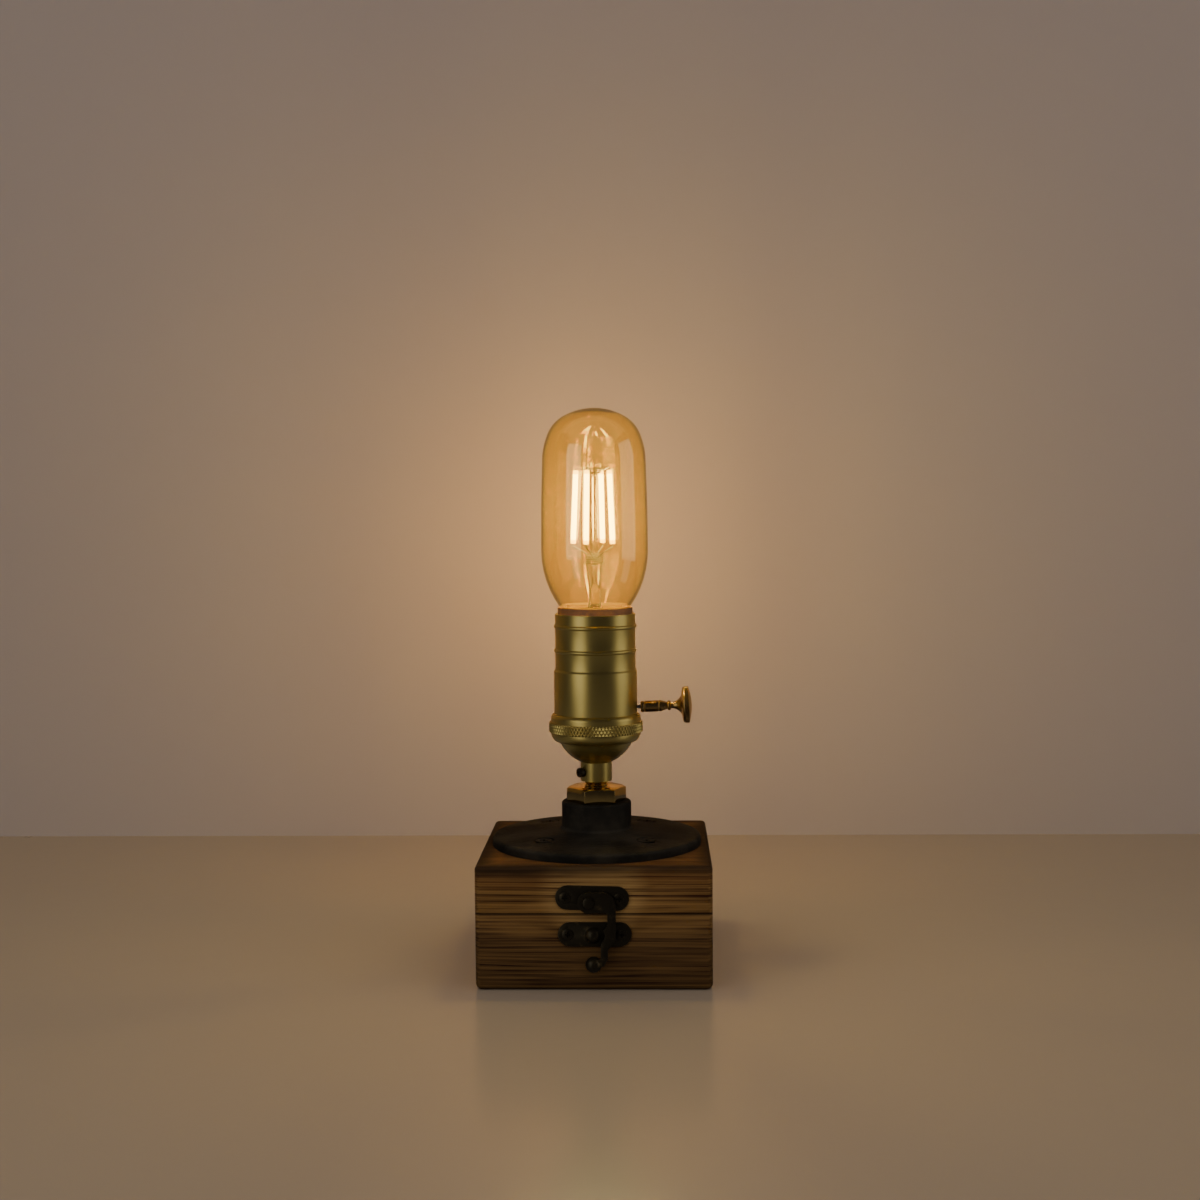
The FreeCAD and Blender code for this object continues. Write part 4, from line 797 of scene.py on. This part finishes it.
def threaded_side(radius, low, high, pitch, samples=6):
    """The points up a threaded wall, close enough to carry the thread."""
    steps = int((high - low) / pitch * samples)
    return [(radius, low + (high - low) * n / steps) for n in range(steps + 1)]


def make_nipple():
    place = Place("threaded_nipple")
    radius = place.x1

    def thread(r, z, share):
        return r - THREAD_DEPTH * triangle(z / THREAD_PITCH - share) if r > radius - 0.1 else r

    side = threaded_side(radius, place.z0, place.z1, THREAD_PITCH)
    form = lathe("nipple", [(NIPPLE_BORE, place.z0), *side, (NIPPLE_BORE, place.z1)], 60, thread)
    dress(form, "polished_brass", "threaded_nipple")


def make_flange():
    dress_eased("floor_flange", "flange", 0.3, "cast_iron")
    dress_screws("wood_screws", "flange_screws", "black_steel", (0, 0, 1), flat_screw, FLANGE_SCREW,
                 finish="cast_iron")
    dress_eased("bushing", "hex_bushing", 0.22, "polished_brass")


# ---- socket
NECK_RADIUS = 6.65
NECK_HEIGHT = 8.2
DOME_RADIUS = 16.95
DOME_RISE = 9.0
CAP_RIM = 16.9
CAP_WALL = 0.8
CAP_SKIRT = 5.8
CAP_BORE = 5.0
CAP_LEDGE = 1.0
GRUB_ROOT, GRUB_END, GRUB_HEAD, GRUB_SHANK = 5.0, 9.0, 2.0, 1.5
RING_FOOT, RING_LIP, RING_TOP = 17.3, 19.0, 17.9
RING_SHOULDER = 2.0
FOOT_BEND, SHOULDER_TURN = 4.7, 2.2
BAND_LOW, BAND_HEIGHT = 3.8, 4.3
BAND_DEPTH = 0.4
KNURLS = 84
KNURL_CYCLES = 1.4      # diamonds, one above the other
KNURL_DEPTH = 0.45
KNURL_SAMPLES = 10
BAND_EDGE = 0.3
SHELL_RADIUS, SHELL_NECK = 17.55, 16.95
SHELL_WALL = 0.5
SHELL_SEAT = 2.8
SHELL_STEP, SHELL_STEP_RISE = 26.8, 0.9
SHELL_BEADS = (35.5, 45.7)
BEAD_WIDTH, BEAD_RISE = 1.7, 0.55
LIP_HEIGHT = 1.5
SHAFT_HOLE, HOLE_FROM, HOLE_TO = 1.5, 14, 22
LINER_WALL = 0.5
SOCKET_WALL, SOCKET_THREAD_DEPTH = 0.3, 0.22


def make_cap():
    low = Place("socket_cap").z0
    neck = low + NECK_HEIGHT
    rim = neck + DOME_RISE
    ledge, skirt = rim + CAP_LEDGE, rim + CAP_SKIRT
    inner = DOME_RADIUS - CAP_WALL
    centre = neck + sqrt(DOME_RADIUS ** 2 - NECK_RADIUS ** 2)

    def across(radius, z):
        return sqrt(radius ** 2 - (centre - z) ** 2)

    form = lathe("cap", outline(
        (CAP_BORE, low), (NECK_RADIUS, low), (NECK_RADIUS, neck, DOME_RADIUS, 1),
        (across(DOME_RADIUS, rim), rim), (CAP_RIM, rim), (CAP_RIM, skirt), (CAP_RIM - CAP_WALL, skirt),
        (CAP_RIM - CAP_WALL, ledge), (across(inner, ledge), ledge, inner, -1),
        (CAP_BORE, centre - sqrt(inner ** 2 - CAP_BORE ** 2)), ease=0.35))
    dress(form, "satin_brass", "socket_cap")


def make_set_screw():
    """The dark grub screw that locks the neck, with a cross recess."""
    place = Place("set_screw")
    form = lathe("grub", outline(
        (0, GRUB_ROOT), (GRUB_SHANK, GRUB_ROOT), (GRUB_SHANK, NECK_RADIUS), (GRUB_HEAD, NECK_RADIUS),
        (GRUB_HEAD, GRUB_END), (0, GRUB_END), ease=0.35), SCREW_SEGMENTS)
    carved(form, cross_cutter(GRUB_HEAD, GRUB_END, 0.7))
    dress(placed(form, (0, 0, place.z), (place.x, place.y, 0)), "antique_bronze", "set_screw")


def make_ring():
    """A turned body, and round it a band cut with two crossing sets of grooves."""
    place = Place("socket_ring")
    low, high = place.z0 + BAND_LOW, place.z0 + BAND_LOW + BAND_HEIGHT
    seat, radius = place.z0 + SHELL_SEAT, place.x1
    body = lathe("ring_body", outline(
        (CAP_RIM, place.z0), (RING_FOOT, place.z0, FOOT_BEND, 1), (RING_LIP, low),
        (RING_LIP, place.z1 - RING_SHOULDER, SHOULDER_TURN, 1), (RING_TOP, place.z1),
        (SHELL_RADIUS, place.z1), (SHELL_RADIUS, seat), (CAP_RIM, seat), ease=0.15))
    cut_low, cut_high = low + BAND_EDGE, high - BAND_EDGE
    rows = int(KNURL_CYCLES * KNURL_SAMPLES)
    cuts = [(radius, cut_low + (cut_high - cut_low) * n / rows) for n in range(rows + 1)]

    def knurl(r, z, share):
        if r < radius:
            return r
        climb = (z - cut_low) / (cut_high - cut_low) * KNURL_CYCLES
        turn = share * KNURLS
        return r - KNURL_DEPTH * (1 - min(triangle(turn + climb), triangle(turn - climb)))

    inside, edge = RING_LIP - BAND_DEPTH, radius - KNURL_DEPTH
    points = [(inside, low), (edge, low), *cuts, (edge, high), (inside, high)]
    band = lathe("ring_band", points, KNURLS * KNURL_SAMPLES, knurl)
    dress(joined("ring", body, band), "satin_brass", "socket_ring")


def bead(middle):
    """The two corners of a rolled bead round the shell's neck."""
    half = BEAD_WIDTH / 2
    return (SHELL_NECK, middle - half, chord_bend(BEAD_RISE, half), 1), (SHELL_NECK, middle + half)


def switch_axis():
    """Where the switch's axis crosses the lamp's, in millimetres, and its direction."""
    joint = JOINTS["switch_turn"]
    return Vector(joint["pos_m"]) / MM, Vector(joint["axis"])


def make_shell():
    low, high = Place("socket_shell").z0, Place("socket_shell").z1
    step, lip = low + SHELL_STEP, high - LIP_HEIGHT
    inner, neck_inner = SHELL_RADIUS - SHELL_WALL, SHELL_NECK - SHELL_WALL
    mouth = Place("shell_liner").x1
    beads = [corner for rise in SHELL_BEADS for corner in bead(low + rise)]
    form = lathe("shell", outline(
        (inner, low), (SHELL_RADIUS, low), (SHELL_RADIUS, step), (SHELL_NECK, step + SHELL_STEP_RISE),
        *beads, (SHELL_NECK, high), (mouth, high), (mouth, lip), (neck_inner, lip),
        (neck_inner, step + SHELL_STEP_RISE), (inner, step), ease=0.25))
    hole = bar("hole", SHAFT_HOLE, HOLE_FROM, HOLE_TO, 32, ease=0)
    dress(carved(form, placed(hole, *switch_axis())), "satin_brass", "socket_shell")


def make_liner():
    place = Place("shell_liner")
    form = bar("liner", place.x1, place.z0, place.z1, bore=place.x1 - LINER_WALL, ease=0.15)
    dress(form, "fibre_liner", "shell_liner")


def make_screw_shell():
    """The rolled thread that takes the bulb; its waves die out towards both ends."""
    place = Place("screw_shell")

    def rolled(r, z, share):
        ends = max(0, min(1, (z - place.z0) / 2, (place.z1 - z) / 2))
        return r - SOCKET_THREAD_DEPTH * (1 - cos(2 * pi * (z / BULB_THREAD - share)) * ends)

    side = threaded_side(place.x1, place.z0, place.z1, BULB_THREAD, 12)
    wall = [(r - SOCKET_WALL, z) for r, z in reversed(side)]
    dress(lathe("screw_socket", side + wall, 96, rolled), "contact_brass", "screw_shell")


# ---- switch
STEM_START, STEM_LENGTH, STEM_RADIUS = 19.0, 8.5, 2.4
STEM_GROOVE, GROOVE_HALF, GROOVE_INSET = 0.25, 0.3, (1.5, 0.9)
STEM_TAPER, STEM_TIP = 2.7, 1.5
SHAFT_START, SHAFT_RADIUS = 3.0, 0.8
KNOB_START = STEM_START + STEM_LENGTH + STEM_TAPER
KNOB_NECK, KNOB_BEAD, KNOB_BEAD_LENGTH = 1.3, 2.1, 1.65
FLARE_RADIUS, FLARE_LENGTH, FLARE_BEND = 4.0, 4.4, 5.0
KNOB_RADIUS, KNOB_BACK, KNOB_ROUND, KNOB_RIM, KNOB_DOME = 7.7, 0.5, 0.9, 1.8, 1.2
RIM_DRAFT, RIM_EDGE = 0.1, 0.2
RIM_CUTS = 72
RIM_CUT_DEPTH = 0.22


def groove(middle):
    """The corners of a turned groove round the stem."""
    return ((STEM_RADIUS, middle - GROOVE_HALF), (STEM_RADIUS - STEM_GROOVE, middle),
            (STEM_RADIUS, middle + GROOVE_HALF))


def make_stem():
    """The switch's turned stem, and the shaft behind it."""
    end = STEM_START + STEM_LENGTH
    stem = lathe("stem", outline(
        (0, STEM_START), (STEM_RADIUS - 0.3, STEM_START), (STEM_RADIUS, STEM_START + 0.4),
        *groove(STEM_START + GROOVE_INSET[0]), *groove(end - GROOVE_INSET[1]), (STEM_RADIUS, end),
        (STEM_TIP, KNOB_START), (0, KNOB_START)), 64)
    dress(placed(stem, *switch_axis()), "aged_brass", "switch_stem")
    shaft = bar("shaft", SHAFT_RADIUS, SHAFT_START, STEM_START, 32)
    dress(placed(shaft, *switch_axis()), "steel", "switch_shaft")


def make_knob():
    """A beaded neck, a flare and a flat round grip with a milled rim."""
    bead_end = KNOB_START + KNOB_BEAD_LENGTH
    bead_bend = chord_bend(KNOB_BEAD - KNOB_NECK, KNOB_BEAD_LENGTH / 2)
    flare_end = bead_end + FLARE_LENGTH
    rim_back = flare_end + KNOB_BACK
    rim_start, rim_end = rim_back + KNOB_ROUND, rim_back + KNOB_ROUND + KNOB_RIM

    def milled(r, z, share):
        inside = r > KNOB_RADIUS - RIM_DRAFT / 2 and rim_start < z < rim_end
        return r - RIM_CUT_DEPTH * (1 - triangle(share * RIM_CUTS)) if inside else r

    knob = lathe("knob", outline(
        (0, KNOB_START), (KNOB_NECK, KNOB_START, bead_bend, 1), (KNOB_NECK, bead_end, FLARE_BEND, -1),
        (FLARE_RADIUS, flare_end), (KNOB_RADIUS - KNOB_ROUND, rim_back, KNOB_ROUND, 1),
        (KNOB_RADIUS - RIM_DRAFT, rim_start), (KNOB_RADIUS, rim_start + RIM_EDGE),
        (KNOB_RADIUS, rim_end - RIM_EDGE),
        (KNOB_RADIUS - RIM_DRAFT, rim_end, chord_bend(KNOB_DOME, KNOB_RADIUS), 1),
        (0, rim_end + KNOB_DOME), ease=0.1), RIM_CUTS * 4, milled)
    dress(placed(knob, *switch_axis()), "aged_brass", "switch_knob")


# ---- bulb
GLASS_WALL = 0.8
GLASS_NECK, GLASS_NECK_RISE = 14.9, 0.7
BRIGHT_FOOT_RISE = 1.8
GLASS_RADIUS, FLARE_RISE, SIDE_RISE = 22.5, 23.7, 39.6
SHOULDER_RADIUS, SHOULDER_BEND = 21.7, 31.0
BEND_RADIUS, BEND_RISE, CROWN_BEND = 19.6, 8.9, 15.2
CROWN_RADIUS, CROWN_RISE, TOP_RISE = 12.0, 8.3, 2.9
BULB_THREAD = 3.63
FILAMENT_TURNS = (165, 250, 325, 70)
FILAMENT_LOW_RING, FILAMENT_TOP_RING = 9.4, 8.0
FILAMENT_RADIUS, FILAMENT_TIP_LENGTH = 1.1, 1.6
FILAMENT_INSET = 0.1
WIRE_RADIUS, LEAD_RADIUS, COIL_WIRE = 0.28, 0.2, 0.22
COIL_RADIUS, COIL_START, COIL_HEIGHT, COIL_TURN, COIL_STEPS = 3.5, 0.3, 4.6, 360 * 5, 80
# each spoke's rise over its hub, and its bend's rise and reach
LOW_SPOKE, TOP_SPOKE = (3, 5.6, 5), (2.5, 2.3, 5.5)
SPOKE_PAST, SPOKE_HOOK, SPOKE_END = 0.1, 1.2, 0.3
# the stem's hubs under and over the filaments
HUB_DROP, HUB_TOP, HUB_RADIUS, HUB_NECK = 9.0, 5.0, 3.2, 1.2
STEM_FOOT, STEM_BEND, PRESS_HALF = 11.0, 13.5, 2.6
PRESS_FROM, PRESS_TO = 9.0, 14.0
CAP_THREAD_DEPTH, CAP_SHEET, CAP_SHOULDER, CAP_FOOT = 0.55, 0.4, 1.6, 1.6


def glass_side(inset, foot, cap_top, cap_inner):
    """The bulb's side from its foot to its crown, drawn in by an inset."""
    neck_z = cap_top + GLASS_NECK_RISE
    belly_z = neck_z + FLARE_RISE
    sink = inset / 4
    shoulder_z = belly_z + SIDE_RISE - sink
    bend_z = shoulder_z + BEND_RISE - sink
    crown_z = bend_z + CROWN_RISE - sink
    crown, rise = CROWN_RADIUS - inset / 2, TOP_RISE - sink
    return path(
        (cap_inner - inset, foot), (cap_inner - inset, cap_top + inset),
        (GLASS_NECK - inset, neck_z + inset, chord_bend(GLASS_RADIUS - GLASS_NECK, FLARE_RISE), 1),
        (GLASS_RADIUS - inset, belly_z, chord_bend(GLASS_RADIUS - SHOULDER_RADIUS, SIDE_RISE), 1),
        (SHOULDER_RADIUS - inset, shoulder_z, SHOULDER_BEND, 1),
        (BEND_RADIUS - inset, bend_z, CROWN_BEND, 1),
        (crown, crown_z, chord_bend(rise, crown), 1), (0, crown_z + rise))


def make_glass():
    cap, glass_place = Place("bulb_cap"), Place("bulb_glass")
    sides = [glass_side(inset, glass_place.z0, cap.z1, cap.x1 - 0.4) for inset in (0, GLASS_WALL)]
    form = lathe("glass", sides[0] + sides[1][::-1], 160)
    for finish in ("amber_glass", "amber_inside", "amber_foot"):
        form.data.materials.append(MATERIALS[finish])
    middle = Vector((0, 0, glass_place.z * MM))
    for face in form.data.polygons:
        inner = face.normal.dot(face.center - middle) < 0
        in_foot = face.center.z < (cap.z1 + BRIGHT_FOOT_RISE) * MM
        face.material_index = 2 if inner and in_foot else int(inner)
    dress(form, "amber_glass", "bulb_glass")
    form.visible_shadow = False


def hub_heights():
    """Where the stem's two hubs start, under and over the filaments."""
    return Place("filaments").z0 - HUB_DROP, Place("glass_stem").z1 - HUB_TOP


def make_mount():
    """The pressed glass stem: a flared foot, a press and a rod with two hubs."""
    foot = Place("bulb_glass").z0
    hub, top = hub_heights()
    press, press_top = foot + PRESS_FROM, foot + PRESS_TO
    form = lathe("mount", outline(
        (0, foot), (STEM_FOOT, foot, STEM_BEND, -1), (PRESS_HALF, press), (PRESS_HALF, press_top),
        (HUB_NECK, press_top + 2.5), (HUB_NECK, hub), (HUB_RADIUS, hub + 1.2),
        (HUB_RADIUS, hub + 3.8), (HUB_NECK, hub + HUB_TOP), (HUB_NECK, top), (HUB_RADIUS, top + 1.2),
        (HUB_RADIUS, top + HUB_TOP), (0, top + HUB_TOP), ease=0.5), 64)
    dress(form, "clear_glass", "glass_stem")
    form.visible_shadow = False


def around(radius, turn, z):
    return Vector((radius * cos(radians(turn)), radius * sin(radians(turn)), z))


def filament_ends(turn):
    place = Place("filaments")
    return (around(FILAMENT_LOW_RING, turn, place.z0 + FILAMENT_INSET),
            around(FILAMENT_TOP_RING, turn, place.z1 - FILAMENT_INSET))


def make_filaments():
    """Four phosphor-coated sticks; the two ends of each glow less."""
    sticks, tip, radius = [], FILAMENT_TIP_LENGTH, FILAMENT_RADIUS
    for turn in FILAMENT_TURNS:
        low, high = filament_ends(turn)
        length = (high - low).length
        form = lathe("stick", outline((0, 0), (radius, 0), (radius, tip), (radius, length - tip),
                                      (radius, length), (0, length), ease=0.3), 20)
        sticks.append(placed(form, low, high - low))
    obj = joined("filament_sticks", *sticks)
    for finish in ("lit_filament", "filament_tip"):
        obj.data.materials.append(MATERIALS[finish])
    low, high = Place("filaments").z0 + tip, Place("filaments").z1 - tip
    for face in obj.data.polygons:
        face.material_index = int(not low < face.center.z / MM < high)
    dress(obj, "lit_filament", "filaments")


def wire(points, radius):
    """A round wire through some points, in millimetres."""
    curve = bpy.data.curves.new("wire", "CURVE")
    curve.dimensions = "3D"
    curve.bevel_depth, curve.bevel_resolution, curve.use_fill_caps = radius * MM, 3, True
    spline = curve.splines.new("POLY")
    spline.points.add(len(points) - 1)
    for point, place in zip(spline.points, points):
        point.co = (*(Vector(place) * MM), 1)
    obj = link(bpy.data.objects.new("wire", curve))
    mesh = bpy.data.meshes.new_from_object(obj)
    bpy.data.objects.remove(obj)
    return link(bpy.data.objects.new("wire", mesh))


def make_supports():
    """Spokes to the filaments' ends, a coil round the stem's hub, and two leads down its press."""
    hub, top = hub_heights()
    foot = Place("bulb_glass").z0
    wires = []
    for turn in FILAMENT_TURNS:
        spokes = zip(filament_ends(turn), (hub, top), (LOW_SPOKE, TOP_SPOKE), (-1, 1))
        for end, start, (rise, bend_rise, reach), way in spokes:
            past = around(SPOKE_PAST, turn, way * SPOKE_HOOK)
            wires.append(wire([around(1, turn, start + rise), around(reach, turn, start + bend_rise),
                               end + past, end - Vector((0, 0, way * SPOKE_END))], WIRE_RADIUS))
    shares = [n / COIL_STEPS for n in range(COIL_STEPS + 1)]
    wires.append(wire([around(COIL_RADIUS, COIL_TURN * share, hub + COIL_START + COIL_HEIGHT * share)
                       for share in shares], COIL_WIRE))
    lead = ((3.2, hub + 2), (2.7, hub - 3), (1.6, foot + 16), (1.4, foot + 4), (2.2, foot - 3))
    for side in (-1, 1):
        wires.append(wire([(side * x, 0, z) for x, z in lead], LEAD_RADIUS))
    dress(joined("supports", *wires), "steel", "support_wires")


def make_bulb_cap():
    """The bulb's threaded cap, whose thread dies out towards both ends."""
    cap = Place("bulb_cap")
    radius, shoulder = cap.x1, cap.z0 + CAP_SHOULDER

    def thread(r, z, share):
        ends = max(0, min(1, (z - shoulder) / 2, (cap.z1 - 2 - z) / 2))
        wave = (1 - cos(2 * pi * (z / BULB_THREAD - share))) / 2
        return r - CAP_THREAD_DEPTH * wave * ends if r > radius - CAP_SHEET - 0.3 else r

    side = threaded_side(radius, shoulder, cap.z1, BULB_THREAD, 14)
    inside = [(r - CAP_SHEET, z) for r, z in reversed(side)]
    foot = radius - CAP_SHEET - CAP_FOOT
    form = lathe("screw_cap", [(foot - CAP_SHEET, cap.z0), (foot, cap.z0), *side, *inside,
                               (foot - CAP_SHEET, cap.z0 + CAP_SHEET)], 96, thread)
    dress(form, "contact_brass", "bulb_cap")


def make_tip():
    """The contact at the cap's foot, and the insulator round it."""
    tip, base = Place("bulb_tip_contact"), Place("bulb_insulator")
    form = lathe("tip", outline((0, tip.z0), (tip.x1 - 1.2, tip.z0, 1.4, 1), (tip.x1, tip.z1),
                                (0, tip.z1), ease=0.1), 48)
    dress(form, "steel", "bulb_tip_contact")
    form = lathe("insulator", outline((0, base.z0), (tip.x1 + CAP_SHEET, base.z0), (base.x1, base.z1),
                                      (0, base.z1), ease=0.3), 64)
    dress(form, "bakelite", "bulb_insulator")


# ---- latch and hinges
RIVET_RISE, RIVET_SHAFT, RIVET_EDGE = 0.9, 1.5, 0.7


def make_latch():
    for name, node in (("upper_plate", "latch_plate"), ("lower_plate", "keeper_plate")):
        dress_eased(name, node, 0.25, "antique_bronze")
        dress_screws(f"{name}_screws", f"{node}_screws", "antique_bronze", (0, -1, 0), domed_screw,
                     PLATE_SCREW, under=PLATE_SCREW[0])
    dress_eased("swing_arm", "latch_arm", 0.45, "antique_bronze", steps=3)
    rivet = Place("latch_pivot_rivet")
    form = domed_head("rivet", (rivet.x1 - rivet.x0) / 2, RIVET_RISE, RIVET_SHAFT,
                      rivet.y1 - rivet.y0 - RIVET_RISE, RIVET_EDGE, 0.2)
    placed(form, (rivet.x, rivet.y0 + RIVET_RISE, rivet.z), (0, -1, 0))
    dress(form, "antique_bronze", "latch_pivot_rivet")


def make_hinges():
    for name in ("tray_hinge", "lid_hinge"):
        dress_eased(f"{name}_leaf", f"{name}_leaves", 0.15, "antique_bronze")
        dress_screws(f"{name}_leaf_screws", f"{name}_screws", "antique_bronze", (0, 1, 0),
                     domed_screw, HINGE_SCREW, under=HINGE_SCREW[0])
    pins = solids("hinge_pins")
    low, high = pins[0]
    model = bar("pin", (high.z - low.z) / 2, 0, high.x - low.x, 24, ease=0.2)
    places = [(low.x, (low.y + high.y) / 2, (low.z + high.z) / 2) for low, high in pins]
    dress(copies("pins", model, places, (1, 0, 0)), "steel", "hinge_pins")


SHOWN_AS_IT_IS = {"terminal_block": "bakelite", "terminal_block_screws": "steel",
                  "lead_wires": "wire_insulation", "switch_mechanism": "bakelite",
                  "contact_disc": "bakelite", "centre_contact": "contact_brass",
                  "switch_rotor": "bakelite"}

for make in (make_box, make_gland, make_flange, make_nipple, make_cap, make_set_screw, make_ring,
             make_shell, make_liner, make_screw_shell, make_stem, make_knob, make_glass, make_mount,
             make_filaments, make_supports, make_bulb_cap, make_tip, make_latch, make_hinges):
    make()
for node, slot in SHOWN_AS_IT_IS.items():
    paint(node, slot)
make_camera()
make_stage()
make_world()
make_lights()
